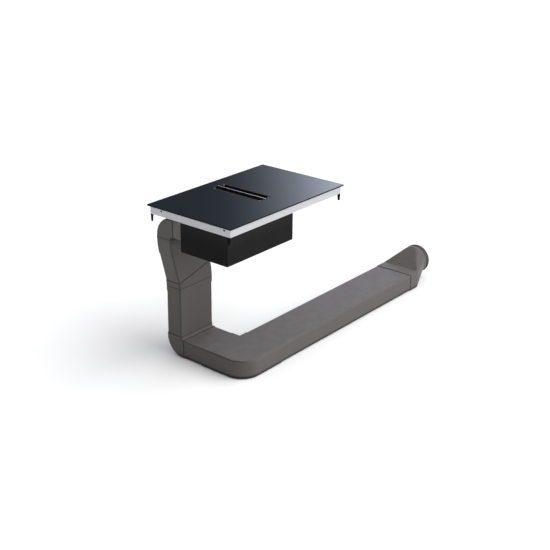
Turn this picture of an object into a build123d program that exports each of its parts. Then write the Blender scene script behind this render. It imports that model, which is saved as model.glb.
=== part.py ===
from build123d import *

import math
import os

# A downdraft vent: an induction hob with a lift-out filter insert in its middle, an extractor
# housing hung under its tray, and the flat duct that carries the air down, along the floor and
# out through a round outlet.
#
# All sizes are millimetres. The working frame has x = 0 at the glass's left edge, y = 0 at its
# front edge and z = 0 on the floor. save() moves every piece so that the origin ends up at the
# bottom centre of the whole part: +X along the duct run, +Y to the back, +Z up.

# ---------------------------------------------------------------- driving dimensions: hob
GLASS_WIDTH = 830.0
GLASS_DEPTH = 515.0
GLASS_THICKNESS = 4.0
GLASS_TOP = 769.0              # height of the cooking surface above the floor
GLASS_CORNER = 4.0
GLASS_BEVEL = 0.8
SEAL_THICKNESS = 3.0
SEAL_WIDTH = 8.0
SEAL_INSET = 1.5

TRAY_INSET = 11.0
TRAY_DEPTH = 41.0
TRAY_SHEET = 1.2
TRAY_FLANGE = 8.0
TRAY_CORNER = 3.0
SIDE_HOLE_RADIUS = 2.6
SIDE_HOLE_DROP = 15.0          # below the glass's underside
SIDE_HOLE_END = 36.0           # from each end of the tray's side

CLIP_WIDTH = 17.0
CLIP_TIP = 11.0
CLIP_FOOT = 16.0
CLIP_DROP = 36.0
CLIP_SHEET = 2.0

# ---------------------------------------------------------------- driving dimensions: inlet
SLOT_LENGTH = 294.0
SLOT_WIDTH = 76.0
SLOT_BEHIND_CENTRE = 42.5      # the slot sits in the middle of the cooking area
FRAME_RIM = 6.0
FRAME_SKIRT = 2.5
FRAME_SKIRT_DEPTH = 20.0
LUG_SIZE = 11.0
LUG_RECESS = 3.0
LUG_HEIGHT = 8.0
PAD_RADIUS = 4.0
PAD_HEIGHT = 1.2
FUNNEL_WALL = 2.5
FUNNEL_FLANGE = 8.5
FUNNEL_FLANGE_THICKNESS = 2.0
FUNNEL_REACH = 8.0             # how far the funnel's spout goes into the housing

BAR_WIDTH = 9.0
BAR_THICKNESS = 3.5
BAR_SEAT = 3.0                 # length of each end that lies on the frame's rim
BAR_SUNK = 2.3                 # depth of the rim's notch
BAR_WEB = 2.4
BAR_WEB_DEPTH = 9.0
CAGE_SIDE_GAP = 5.0            # between the cage and the slot's long sides
CAGE_END_GAP = 1.5             # between the cage and the frame's corner lugs
CAGE_PLATE = 3.0
CAGE_SPINE_WIDTH = 8.0
CAGE_SPINE_HEIGHT = 8.0
CAGE_RAIL = 6.0
FILTER_THICKNESS = 8.0
FILTER_HEIGHT = 88.0
FILTER_BORDER = 6.0
FILTER_LIP = 1.5
FILTER_FOLDS = 22
GUIDE_WALL = 1.5
GUIDE_DEPTH = 4.0
MESH_SHEET = 1.2
PAN_DEPTH = 12.0
PAN_WALL = 1.5
PAN_TONGUE_WIDTH = 16.0
PAN_TONGUE_HEIGHT = 14.0

# ---------------------------------------------------------------- driving dimensions: housing
HOUSING_LEFT = 13.0
HOUSING_FRONT = 31.0
CHAMBER_WIDTH = 118.0          # the filter chamber, which has the slot over its middle
HOUSING_DEPTH = 285.0
HOUSING_HEIGHT = 143.0
HOUSING_WALL = 3.0
HOUSING_CORNER = 4.0
CHAMBER_MARGIN = 18.0          # from the slot's back end to the chamber's back wall
BOSS_RADIUS = 5.0
BOSS_INSET = 8.0
SCREW_RADIUS = 2.0
SCREW_LENGTH = 14.0
SCREW_HEAD_RADIUS = 4.0
SCREW_HEAD_HEIGHT = 2.2

FAN_RADIUS = 89.0
FAN_BLADES = 26
FAN_BLADE_CHORD = 26.0
FAN_BLADE_THICKNESS = 1.6
FAN_BLADE_ANGLE = 35.0
FAN_PLATE = 2.0
FAN_HUB_RADIUS = 10.0
FAN_HUB_DROP = 12.0
FAN_TIP_GAP = 8.0
SCROLL_WALL = 2.5
SCROLL_TONGUE_ANGLE = 41.0
SCROLL_STEPS = 8
INTAKE_RADIUS = 58.0
INTAKE_LIP = 12.0
MOTOR_RADIUS = 36.0
MOTOR_HEIGHT = 44.0
MOTOR_GAP = 4.0
MOTOR_PLATE_RADIUS = 50.0
SHAFT_RADIUS = 4.0

# ---------------------------------------------------------------- driving dimensions: duct
DUCT_WIDTH = 222.0
DUCT_HEIGHT = 89.0
DUCT_WALL = 2.0
DUCT_CORNER = 8.0
FITTING_WALL = 2.2
SLIP_GAP = 0.3                 # between a duct and the fitting it slips into
SLIP_DEPTH = 12.0
SOCKET_LENGTH = 9.0
ELBOW_SOCKET = 27.0            # the longer socket of each 15 degree elbow
GROOVE_DEPTH = 1.0             # the groove round an elbow's shoulder
BEND_INNER_RADIUS = 3.0
OFFSET_ANGLE = 15.0
OFFSET_INNER_RADIUS = 101.0
RISER_TOP = 354.0              # height of the riser's top seam
SPIGOT_LENGTH = 55.5           # from the housing's back to the top bend's seam
SPIGOT_FLANGE = 4.5
SPIGOT_FLANGE_THICKNESS = 3.0
FLAP_THICKNESS = 2.0
FLAP_GAP = 1.5
FLAP_SET_BACK = 14.0
FLAP_KNUCKLE = 4.0
PIN_RADIUS = 2.0
RUNNING_GAP = 0.06
FLOOR_RUN_FRONT = -15.5        # front of the floor run's fittings
CORNER_ARM = 42.0
CORNER_OUTER_RADIUS = 100.0
LONG_RUN_END = 1466.0
ADAPTER_FLAT = 66.0
ADAPTER_TAPER = 124.0
ADAPTER_COLLAR = 30.0
OUTLET_RADIUS = 75.1
OUTLET_WALL = 2.2
OUTLET_RAISE = 96.0            # height of the outlet's centre above the floor
OUTLET_FLAT_ARC = 12.0
RING_WIDTH = 26.0
RING_LAP = 10.0
RING_WALL = 1.4

# ---------------------------------------------------------------- driving dimensions: inside the tray
PLATE_THICKNESS = 2.0
PLATE_EDGE = 10.0
PLATE_FRONT = 70.0
PLATE_SLOT_MARGIN = 12.0
PLATE_DROP = 15.0              # top of the coil plate below the glass's underside
PILLAR_RADIUS = 4.0
COIL_RADIUS = 92.0
COIL_HOLE = 24.0
COIL_FORMER_THICKNESS = 6.0
COIL_WINDING_THICKNESS = 4.0
COIL_SPACING = 205.0
COIL_FROM_SIDE = 190.0
FERRITE_BARS = 8
BOARD_WIDTH = 290.0
BOARD_DEPTH = 200.0
BOARD_THICKNESS = 1.6
BOARD_RAISE = 6.0
SINK_WIDTH = 110.0
SINK_DEPTH = 150.0
SINK_HEIGHT = 13.0
SINK_FINS = 12
CARRIER_WIDTH = 300.0
CARRIER_DEPTH = 52.0
CARRIER_HEIGHT = 10.0
CARRIER_WALL = 2.0
KEY_COUNT = 9
KEY_RADIUS = 5.0
COOLER_SIZE = 80.0
COOLER_HEIGHT = 18.0
COOLER_WALL = 2.0
COOLER_HUB = 14.0
COOLER_BLADES = 7
COOLER_POST = 3.0
COOLER_FROM_SLOT = 118.0       # from the slot's middle line to a fan's axis
COOLER_FROM_BACK = 99.0        # from the tray's back to a fan's axis
COOLER_INTAKE_HOLES = 10
COOLER_INTAKE_RADIUS = 24.0
COOLER_INTAKE_HOLE = 6.0
TERMINAL_FROM_RIGHT = 130.0
TERMINAL_FROM_BACK = 90.0
TERMINAL_WIDTH = 96.0
TERMINAL_DEPTH = 70.0
TERMINAL_HEIGHT = 26.0
GLAND_RADIUS = 10.0
GLAND_BORE = 4.5
GLAND_LENGTH = 16.0

REST_GAP = 0.3                 # what lifts or lies loose keeps this from its seat
FIT_GAP = 0.5                  # round a piece that passes through a hole

# ---------------------------------------------------------------- places worked out from them
GLASS_UNDER = GLASS_TOP - GLASS_THICKNESS
TRAY_BOTTOM = GLASS_UNDER - TRAY_DEPTH
TRAY_FLOOR = TRAY_BOTTOM + TRAY_SHEET
TRAY_LEFT = TRAY_INSET
TRAY_RIGHT = GLASS_WIDTH - TRAY_INSET
TRAY_FRONT = TRAY_INSET
TRAY_BACK = GLASS_DEPTH - TRAY_INSET

SLOT_X = GLASS_WIDTH / 2
SLOT_Y = GLASS_DEPTH / 2 + SLOT_BEHIND_CENTRE
FRAME_WIDTH = SLOT_WIDTH + 2 * FRAME_RIM
FRAME_LENGTH = SLOT_LENGTH + 2 * FRAME_RIM
SKIRT_WIDTH = SLOT_WIDTH + 2 * FRAME_SKIRT
SKIRT_LENGTH = SLOT_LENGTH + 2 * FRAME_SKIRT
FUNNEL_IN_WIDTH = SKIRT_WIDTH + 2 * FIT_GAP
FUNNEL_IN_LENGTH = SKIRT_LENGTH + 2 * FIT_GAP
FUNNEL_WIDTH = FUNNEL_IN_WIDTH + 2 * FUNNEL_WALL
FUNNEL_LENGTH = FUNNEL_IN_LENGTH + 2 * FUNNEL_WALL
CAGE_WIDTH = SLOT_WIDTH - 2 * CAGE_SIDE_GAP
CAGE_LENGTH = SLOT_LENGTH - 2 * LUG_SIZE - 2 * CAGE_END_GAP

HOUSING_TOP = TRAY_BOTTOM
HOUSING_BOTTOM = HOUSING_TOP - HOUSING_HEIGHT
HOUSING_BACK = HOUSING_FRONT + HOUSING_DEPTH
LID_UNDER = HOUSING_TOP - HOUSING_WALL
HOUSING_FLOOR = HOUSING_BOTTOM + HOUSING_WALL
CHAMBER_LEFT = SLOT_X - CHAMBER_WIDTH / 2
CHAMBER_RIGHT = SLOT_X + CHAMBER_WIDTH / 2
CHAMBER_BACK = SLOT_Y + SLOT_LENGTH / 2 + CHAMBER_MARGIN

FITTING_IN_WIDTH = DUCT_WIDTH + 2 * SLIP_GAP
FITTING_IN_HEIGHT = DUCT_HEIGHT + 2 * SLIP_GAP
FITTING_WIDTH = FITTING_IN_WIDTH + 2 * FITTING_WALL
FITTING_HEIGHT = FITTING_IN_HEIGHT + 2 * FITTING_WALL
FITTING_CORNER = DUCT_CORNER + SLIP_GAP + FITTING_WALL
BEND_CENTRE_RADIUS = BEND_INNER_RADIUS + FITTING_HEIGHT / 2
BEND_REACH = SOCKET_LENGTH + BEND_INNER_RADIUS + FITTING_HEIGHT

TOP_RUN_Z = TRAY_BOTTOM - 2.0 - FITTING_HEIGHT / 2
TOP_RUN_X = HOUSING_LEFT + HOUSING_WALL + DUCT_WIDTH / 2 + 2 * FITTING_WALL
TOP_SEAM_Y = HOUSING_BACK + SPIGOT_LENGTH
RISER_Y = TOP_SEAM_Y + SOCKET_LENGTH + BEND_CENTRE_RADIUS
TOP_BEND_SEAM = TOP_RUN_Z - BEND_CENTRE_RADIUS - SOCKET_LENGTH
FLOOR_RUN_Z = FITTING_HEIGHT / 2
LOWER_BEND_SEAM = FLOOR_RUN_Z + BEND_CENTRE_RADIUS + SOCKET_LENGTH

OFFSET_RADIUS = OFFSET_INNER_RADIUS + FITTING_WIDTH / 2
OFFSET_TURN = math.radians(OFFSET_ANGLE)
OFFSET_ELBOW_RISE = OFFSET_RADIUS * math.sin(OFFSET_TURN)
OFFSET_ELBOW_SHIFT = OFFSET_RADIUS * (1 - math.cos(OFFSET_TURN))
OFFSET_LENGTH = (TOP_BEND_SEAM - RISER_TOP - 2 * OFFSET_ELBOW_RISE) / math.cos(OFFSET_TURN)
OFFSET_SHIFT = 2 * OFFSET_ELBOW_SHIFT + OFFSET_LENGTH * math.sin(OFFSET_TURN)
RISER_X = TOP_RUN_X + OFFSET_SHIFT

LONG_RUN_Y = FLOOR_RUN_FRONT + FITTING_WIDTH / 2
CORNER_X = RISER_X + FITTING_WIDTH / 2
CORNER_Y = LONG_RUN_Y + FITTING_WIDTH / 2
SIDE_RUN_SEAM = CORNER_Y + CORNER_ARM
LONG_RUN_START = CORNER_X + CORNER_ARM
ADAPTER_END = LONG_RUN_END + ADAPTER_FLAT + ADAPTER_TAPER + ADAPTER_COLLAR
RING_END = ADAPTER_END - RING_LAP + RING_WIDTH

ORIGIN = Vector(RING_END / 2, (FLOOR_RUN_FRONT + GLASS_DEPTH) / 2, 0)


# ---------------------------------------------------------------- small helpers
def block(x0, x1, y0, y1, z0, z1):
    """A box between two corners."""
    size = Box(x1 - x0, y1 - y0, z1 - z0, align=(Align.MIN, Align.MIN, Align.MIN))
    return Pos(x0, y0, z0) * size


def rod(x, y, z0, z1, radius):
    """An upright cylinder from z0 to z1."""
    return Pos(x, y, z0) * Cylinder(radius, z1 - z0, align=(Align.CENTER, Align.CENTER, Align.MIN))


def slab(x, y, width, length, z0, z1, corner=0.0):
    """An upright prism, centred on x and y, with rounded upright edges where corner is set."""
    outline = RectangleRounded(width, length, corner) if corner > 0 else Rectangle(width, length)
    return extrude(Pos(x, y, z0) * outline, z1 - z0)


def section(plane, width, height, corner):
    """A rounded rectangle on a plane: the cross-section of a flat duct."""
    return plane * RectangleRounded(width, height, corner)


def duct_section(plane, inner=False):
    """The straight duct's outer or inner outline."""
    trim = DUCT_WALL if inner else 0.0
    return section(plane, DUCT_WIDTH - 2 * trim, DUCT_HEIGHT - 2 * trim, DUCT_CORNER - trim)


def fitting_section(plane, inner=False):
    """A fitting's outer or inner outline."""
    trim = FITTING_WALL if inner else 0.0
    width = FITTING_WIDTH - 2 * trim
    height = FITTING_HEIGHT - 2 * trim
    return section(plane, width, height, FITTING_CORNER - trim)


def straight_duct(plane, length):
    """An open flat tube that starts on a plane and runs along its normal."""
    return extrude(duct_section(plane), length) - extrude(duct_section(plane, True), length)


def socket(plane, length):
    """The straight collar of a fitting."""
    return extrude(fitting_section(plane), length) - extrude(fitting_section(plane, True), length)


def swept_fitting(plane, axis, angle):
    """A fitting whose section turns about an axis."""
    outer = revolve(fitting_section(plane), axis, angle)
    inner = revolve(fitting_section(plane, True), axis, angle)
    return outer - inner


def groove(plane):
    """What a groove takes away round a fitting, on both sides of a plane."""
    width = FITTING_WIDTH - 2 * GROOVE_DEPTH
    height = FITTING_HEIGHT - 2 * GROOVE_DEPTH
    start = plane.offset(-GROOVE_DEPTH / 2)
    around = section(start, FITTING_WIDTH + 2, FITTING_HEIGHT + 2, FITTING_CORNER + 1)
    core = section(start, width, height, FITTING_CORNER - GROOVE_DEPTH)
    return extrude(around, GROOVE_DEPTH) - extrude(core, GROOVE_DEPTH)


def polar(centre_x, centre_y, radius, degrees):
    """A point on a circle, in plan."""
    turn = math.radians(degrees)
    return (centre_x + radius * math.cos(turn), centre_y + radius * math.sin(turn))


def save(name, shape):
    """Moves a piece into the part's frame and writes it."""
    shape = Pos(-ORIGIN.X, -ORIGIN.Y, -ORIGIN.Z) * shape
    solids = shape.solids()
    whole = solids[0] if len(solids) == 1 else Compound(children=list(solids))
    whole.label = name
    export_step(whole, f"parts/{name}.step")


os.makedirs("parts", exist_ok=True)


# ---------------------------------------------------------------- glass, seal and tray
def glass_top():
    """The ceramic glass: one sheet with bevelled edges and a cut-out for the inlet frame."""
    sheet = slab(GLASS_WIDTH / 2, GLASS_DEPTH / 2, GLASS_WIDTH, GLASS_DEPTH,
                 GLASS_UNDER, GLASS_TOP, GLASS_CORNER)
    sheet = chamfer(sheet.faces().sort_by(Axis.Z)[-1].outer_wire().edges(), GLASS_BEVEL)
    cut = slab(SLOT_X, SLOT_Y, FRAME_WIDTH + 2 * FIT_GAP, FRAME_LENGTH + 2 * FIT_GAP,
               GLASS_UNDER, GLASS_TOP, GLASS_CORNER)
    return sheet - cut


def edge_seal():
    """The foam tape round the glass's underside that lies on the worktop."""
    outer_width = GLASS_WIDTH - 2 * SEAL_INSET
    outer_depth = GLASS_DEPTH - 2 * SEAL_INSET
    bottom = GLASS_UNDER - SEAL_THICKNESS
    ring = slab(GLASS_WIDTH / 2, GLASS_DEPTH / 2, outer_width, outer_depth, bottom, GLASS_UNDER)
    hole = slab(GLASS_WIDTH / 2, GLASS_DEPTH / 2, outer_width - 2 * SEAL_WIDTH,
                outer_depth - 2 * SEAL_WIDTH, bottom, GLASS_UNDER)
    return ring - hole


COOLER_Y = TRAY_BACK - COOLER_FROM_BACK
COOLER_PLACES = {"left": (SLOT_X - COOLER_FROM_SLOT, COOLER_Y),
                 "right": (SLOT_X + COOLER_FROM_SLOT, COOLER_Y)}


def housing_screw_places():
    """The bosses in the housing's corners, where its screws come down through the tray."""
    inset = HOUSING_WALL + BOSS_INSET
    middle = (HOUSING_LEFT + CHAMBER_RIGHT) / 2 + 2 * SLOT_WIDTH / 3
    return [
        (HOUSING_LEFT + inset, HOUSING_FRONT + inset),
        (middle, HOUSING_FRONT + inset),
        (CHAMBER_RIGHT - inset, HOUSING_FRONT + inset),
        (CHAMBER_RIGHT - inset, CHAMBER_BACK - inset),
        (CHAMBER_LEFT + inset, CHAMBER_BACK - inset),
        (middle, HOUSING_BACK - inset),
    ]


def steel_tray():
    """The folded steel tray under the glass, open at the top, with an inward glue flange."""
    width = TRAY_RIGHT - TRAY_LEFT
    depth = TRAY_BACK - TRAY_FRONT
    x = (TRAY_LEFT + TRAY_RIGHT) / 2
    y = (TRAY_FRONT + TRAY_BACK) / 2
    tray = slab(x, y, width, depth, TRAY_BOTTOM, GLASS_UNDER, TRAY_CORNER)
    inside = slab(x, y, width - 2 * TRAY_SHEET, depth - 2 * TRAY_SHEET, TRAY_FLOOR,
                  GLASS_UNDER - TRAY_SHEET, TRAY_CORNER - TRAY_SHEET)
    mouth = slab(x, y, width - 2 * TRAY_FLANGE, depth - 2 * TRAY_FLANGE, TRAY_FLOOR, GLASS_UNDER)
    tray = tray - inside - mouth
    tray -= slab(SLOT_X, SLOT_Y, FUNNEL_WIDTH + 2 * FIT_GAP, FUNNEL_LENGTH + 2 * FIT_GAP,
                 TRAY_BOTTOM, TRAY_FLOOR)
    for screw_x, screw_y in housing_screw_places():
        tray -= rod(screw_x, screw_y, TRAY_BOTTOM, TRAY_FLOOR, SCREW_RADIUS + RUNNING_GAP)
    for fan_x, fan_y in COOLER_PLACES.values():
        for hole in range(COOLER_INTAKE_HOLES):
            hole_x, hole_y = polar(fan_x, fan_y, COOLER_INTAKE_RADIUS, 360 * hole / COOLER_INTAKE_HOLES)
            tray -= rod(hole_x, hole_y, TRAY_BOTTOM, TRAY_FLOOR, COOLER_INTAKE_HOLE)
    for hole_y in (TRAY_FRONT + SIDE_HOLE_END, TRAY_BACK - 2 * SIDE_HOLE_END):
        across = Pos(x, hole_y, GLASS_UNDER - SIDE_HOLE_DROP) * Rot(0, 90, 0)
        tray -= across * Cylinder(SIDE_HOLE_RADIUS, width + 2 * TRAY_SHEET)
    return tray


def hold_down_clips():
    """Four bent clips under the tray's corners, each a foot and a tapering tongue."""
    clips = []
    reach = TRAY_SHEET + CLIP_SHEET
    for side, edge in ((1, TRAY_LEFT), (-1, TRAY_RIGHT)):
        for middle in (TRAY_FRONT + CLIP_WIDTH / 2 + 1, TRAY_BACK - CLIP_WIDTH / 2 - 1):
            inner = edge + side * CLIP_FOOT
            face = edge + side * reach
            foot = block(min(edge + side, inner), max(edge + side, inner), middle - CLIP_WIDTH / 2,
                         middle + CLIP_WIDTH / 2, TRAY_BOTTOM - CLIP_SHEET, TRAY_BOTTOM)
            top = TRAY_BOTTOM - CLIP_SHEET
            bottom = TRAY_BOTTOM - CLIP_DROP
            points = [
                (middle - CLIP_WIDTH / 2, top),
                (middle + CLIP_WIDTH / 2, top),
                (middle + CLIP_TIP / 2, bottom),
                (middle - CLIP_TIP / 2, bottom),
            ]
            start = min(face, face - side * CLIP_SHEET)
            plane = Plane(origin=(start, 0, 0), x_dir=(0, 1, 0), z_dir=(1, 0, 0))
            tongue = extrude(plane * make_face(Polyline(*points, close=True)), CLIP_SHEET)
            clips.append(foot + tongue)
    return Compound(children=clips)


# ---------------------------------------------------------------- inside the tray
PLATE_TOP = GLASS_UNDER - PLATE_DROP
PLATE_UNDER = PLATE_TOP - PLATE_THICKNESS
COIL_Y = SLOT_Y - 17.0
COIL_PLACES = {
    "front_left": (COIL_FROM_SIDE, COIL_Y - COIL_SPACING / 2),
    "back_left": (COIL_FROM_SIDE, COIL_Y + COIL_SPACING / 2),
    "front_right": (GLASS_WIDTH - COIL_FROM_SIDE, COIL_Y - COIL_SPACING / 2),
    "back_right": (GLASS_WIDTH - COIL_FROM_SIDE, COIL_Y + COIL_SPACING / 2),
}


def coil_plate():
    """The aluminium plate that carries the coils, cut away round the funnel."""
    plate = block(TRAY_LEFT + PLATE_EDGE, TRAY_RIGHT - PLATE_EDGE, TRAY_FRONT + PLATE_FRONT,
                  TRAY_BACK - PLATE_EDGE, PLATE_UNDER, PLATE_TOP)
    return plate - slab(SLOT_X, SLOT_Y, FUNNEL_WIDTH + 2 * PLATE_SLOT_MARGIN,
                        FUNNEL_LENGTH + 2 * PLATE_SLOT_MARGIN, PLATE_UNDER, PLATE_TOP)


def plate_pillars():
    """Eight pillars between the tray's floor and the coil plate."""
    inset = PLATE_EDGE + 2 * PILLAR_RADIUS
    columns = (TRAY_LEFT + inset, SLOT_X - SLOT_WIDTH - PILLAR_RADIUS,
               SLOT_X + SLOT_WIDTH + PILLAR_RADIUS, TRAY_RIGHT - inset)
    rows = (TRAY_FRONT + PLATE_FRONT + 2 * PILLAR_RADIUS, TRAY_BACK - inset)
    return Compound(children=[rod(x, y, TRAY_FLOOR, PLATE_UNDER, PILLAR_RADIUS)
                              for x in columns for y in rows])


def coil_former(place):
    """A moulded disc with ferrite bars let into its underside, on the coil plate."""
    x, y = COIL_PLACES[place]
    top = PLATE_TOP + COIL_FORMER_THICKNESS
    disc = rod(x, y, PLATE_TOP, top, COIL_RADIUS + 3) - rod(x, y, PLATE_TOP, top, COIL_HOLE / 2)
    for bar in range(FERRITE_BARS):
        groove = Box(COIL_RADIUS - COIL_HOLE, 14, COIL_FORMER_THICKNESS / 2)
        turn = Rot(0, 0, 360 * bar / FERRITE_BARS)
        middle = (COIL_RADIUS + COIL_HOLE) / 2
        disc -= Pos(x, y, PLATE_TOP + COIL_FORMER_THICKNESS / 4) * turn * Pos(middle, 0, 0) * groove
    return disc


def coil_winding(place):
    """The flat copper winding that lies on its former."""
    x, y = COIL_PLACES[place]
    bottom = PLATE_TOP + COIL_FORMER_THICKNESS
    top = bottom + COIL_WINDING_THICKNESS
    return rod(x, y, bottom, top, COIL_RADIUS) - rod(x, y, bottom, top, COIL_HOLE)


BOARD_TOP = TRAY_FLOOR + BOARD_RAISE + BOARD_THICKNESS
BOARD_Y = TRAY_FRONT + PLATE_FRONT + BOARD_DEPTH / 2 + 12.0
BOARD_X = {"left": COIL_FROM_SIDE, "right": GLASS_WIDTH - COIL_FROM_SIDE}
CAPACITORS = 5


def power_board(side):
    """A power board on its feet, with chokes and capacitors."""
    x = BOARD_X[side]
    board = slab(x, BOARD_Y, BOARD_WIDTH, BOARD_DEPTH, BOARD_TOP - BOARD_THICKNESS, BOARD_TOP)
    for foot_x in (x - BOARD_WIDTH / 2 + 10, x + BOARD_WIDTH / 2 - 10):
        for foot_y in (BOARD_Y - BOARD_DEPTH / 2 + 10, BOARD_Y + BOARD_DEPTH / 2 - 10):
            board += rod(foot_x, foot_y, TRAY_FLOOR, BOARD_TOP, 3.5)
    for number in range(CAPACITORS):
        cap_y = BOARD_Y + (number - (CAPACITORS - 1) / 2) * 30
        board += rod(x + BOARD_WIDTH / 2 - 30, cap_y, BOARD_TOP - 1, BOARD_TOP + 12, 10)
        board += rod(x + BOARD_WIDTH / 2 - 60, cap_y, BOARD_TOP - 1, BOARD_TOP + 9, 7)
    return board


def heat_sink(side):
    """A finned aluminium heat sink that stands on its board."""
    x = BOARD_X[side] - BOARD_WIDTH / 2 + SINK_WIDTH / 2 + 22
    sink = slab(x, BOARD_Y, SINK_WIDTH, SINK_DEPTH, BOARD_TOP, BOARD_TOP + 3)
    pitch = (SINK_WIDTH - 2) / (SINK_FINS - 1)
    for fin in range(SINK_FINS):
        fin_x = x - SINK_WIDTH / 2 + 1 + fin * pitch
        sink += slab(fin_x, BOARD_Y, 2, SINK_DEPTH, BOARD_TOP + 2, BOARD_TOP + SINK_HEIGHT)
    return sink


CARRIER_Y = TRAY_FRONT + TRAY_FLANGE + CARRIER_DEPTH / 2 + 2.0
KEY_HEIGHT = 1.6
TOUCH_BOARD_TOP = GLASS_UNDER - KEY_HEIGHT
CARRIER_TOP = TOUCH_BOARD_TOP - BOARD_THICKNESS


def touch_carrier():
    """The moulded bed of the touch controls, on four legs that stand on the tray."""
    bottom = CARRIER_TOP - CARRIER_HEIGHT
    bed = slab(GLASS_WIDTH / 2, CARRIER_Y, CARRIER_WIDTH, CARRIER_DEPTH, bottom, CARRIER_TOP)
    bed -= slab(GLASS_WIDTH / 2, CARRIER_Y, CARRIER_WIDTH - 2 * CARRIER_WALL,
                CARRIER_DEPTH - 2 * CARRIER_WALL, bottom + CARRIER_WALL, CARRIER_TOP)
    for leg_x in (-CARRIER_WIDTH / 2 + 8, CARRIER_WIDTH / 2 - 8):
        for leg_y in (-CARRIER_DEPTH / 2 + 8, CARRIER_DEPTH / 2 - 8):
            bed += rod(GLASS_WIDTH / 2 + leg_x, CARRIER_Y + leg_y, TRAY_FLOOR, bottom + 1, 4)
    return bed


def touch_board():
    """The touch board, with one sprung key under the glass for each field."""
    board = slab(GLASS_WIDTH / 2, CARRIER_Y, CARRIER_WIDTH, CARRIER_DEPTH, CARRIER_TOP, TOUCH_BOARD_TOP)
    pitch = (CARRIER_WIDTH - 40) / (KEY_COUNT - 1)
    for key in range(KEY_COUNT):
        key_x = GLASS_WIDTH / 2 + (key - (KEY_COUNT - 1) / 2) * pitch
        board += rod(key_x, CARRIER_Y, TOUCH_BOARD_TOP - 1, GLASS_UNDER, KEY_RADIUS)
    return board


def cooling_fan_frame(side):
    """A square fan frame on the tray's floor, with three arms that hold the post."""
    x, y = COOLER_PLACES[side]
    top = TRAY_FLOOR + COOLER_HEIGHT
    radius = COOLER_SIZE / 2 - COOLER_WALL
    frame = slab(x, y, COOLER_SIZE, COOLER_SIZE, TRAY_FLOOR, top, 4) - rod(x, y, TRAY_FLOOR, top, radius)
    for arm in range(3):
        spoke = Box(radius + 1, 4, COOLER_WALL, align=(Align.MIN, Align.CENTER, Align.MIN))
        frame += Pos(x, y, TRAY_FLOOR) * Rot(0, 0, 90 + 120 * arm) * spoke
    frame += rod(x, y, TRAY_FLOOR, TRAY_FLOOR + COOLER_WALL, COOLER_HUB)
    return frame + rod(x, y, TRAY_FLOOR, top - 3, COOLER_POST)


def cooling_fan_rotor(side):
    """The rotor: a capped hub on the post, with twisted blades."""
    x, y = COOLER_PLACES[side]
    bottom = TRAY_FLOOR + COOLER_WALL + FIT_GAP
    top = TRAY_FLOOR + COOLER_HEIGHT - FIT_GAP
    rotor = rod(x, y, bottom, top, COOLER_HUB)
    reach = COOLER_SIZE / 2 - COOLER_WALL - 2 - COOLER_HUB
    for blade in range(COOLER_BLADES):
        fin = Box(reach + 2, 1.6, 13, align=(Align.MIN, Align.CENTER, Align.CENTER))
        turn = Rot(0, 0, 360 * blade / COOLER_BLADES)
        rotor += Pos(x, y, (bottom + top) / 2) * turn * Pos(COOLER_HUB - 2, 0, 0) * Rot(38, 0, 0) * fin
    post_top = TRAY_FLOOR + COOLER_HEIGHT - 3 + REST_GAP
    return rotor - rod(x, y, bottom, post_top, COOLER_POST + RUNNING_GAP)


TERMINAL_X = GLASS_WIDTH - TERMINAL_FROM_RIGHT
TERMINAL_Y = GLASS_DEPTH - TERMINAL_FROM_BACK


def terminal_box():
    """The connection box under the tray, where the supply comes in."""
    bottom = TRAY_BOTTOM - TERMINAL_HEIGHT
    box = slab(TERMINAL_X, TERMINAL_Y, TERMINAL_WIDTH, TERMINAL_DEPTH, bottom, TRAY_BOTTOM, 4)
    box -= slab(TERMINAL_X, TERMINAL_Y, TERMINAL_WIDTH - 5, TERMINAL_DEPTH - 5,
                bottom + 2.5, TRAY_BOTTOM, 2)
    hole = Pos(TERMINAL_X, TERMINAL_Y + TERMINAL_DEPTH / 2, TRAY_BOTTOM - TERMINAL_HEIGHT / 2)
    return box - hole * Rot(90, 0, 0) * Cylinder(GLAND_BORE + 2, 12)


def cable_gland():
    """The gland in the connection box's back wall: a nut, a neck and a bore."""
    wall = TERMINAL_Y + TERMINAL_DEPTH / 2
    plane = Plane(origin=(TERMINAL_X, wall, TRAY_BOTTOM - TERMINAL_HEIGHT / 2), z_dir=(0, 1, 0))
    neck = extrude(plane * Circle(GLAND_RADIUS - 2), GLAND_LENGTH)
    nut = extrude(plane * RegularPolygon(GLAND_RADIUS, 6), GLAND_LENGTH / 2)
    tail = extrude(plane * Circle(GLAND_BORE + 2 - RUNNING_GAP), -4)
    return neck + nut + tail - extrude(plane * Circle(GLAND_BORE), GLAND_LENGTH + 4, both=True)


# ---------------------------------------------------------------- inlet and filter insert
def inlet_funnel():
    """The straight throat from the glass down through the tray into the housing."""
    bottom = TRAY_BOTTOM - FUNNEL_REACH
    throat = slab(SLOT_X, SLOT_Y, FUNNEL_WIDTH, FUNNEL_LENGTH, bottom, GLASS_UNDER, 6)
    throat += slab(SLOT_X, SLOT_Y, FUNNEL_WIDTH + 2 * FUNNEL_FLANGE, FUNNEL_LENGTH + 2 * FUNNEL_FLANGE,
                   GLASS_UNDER - FUNNEL_FLANGE_THICKNESS, GLASS_UNDER, 6)
    return throat - slab(SLOT_X, SLOT_Y, FUNNEL_IN_WIDTH, FUNNEL_IN_LENGTH, bottom, GLASS_UNDER, 4)


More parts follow.
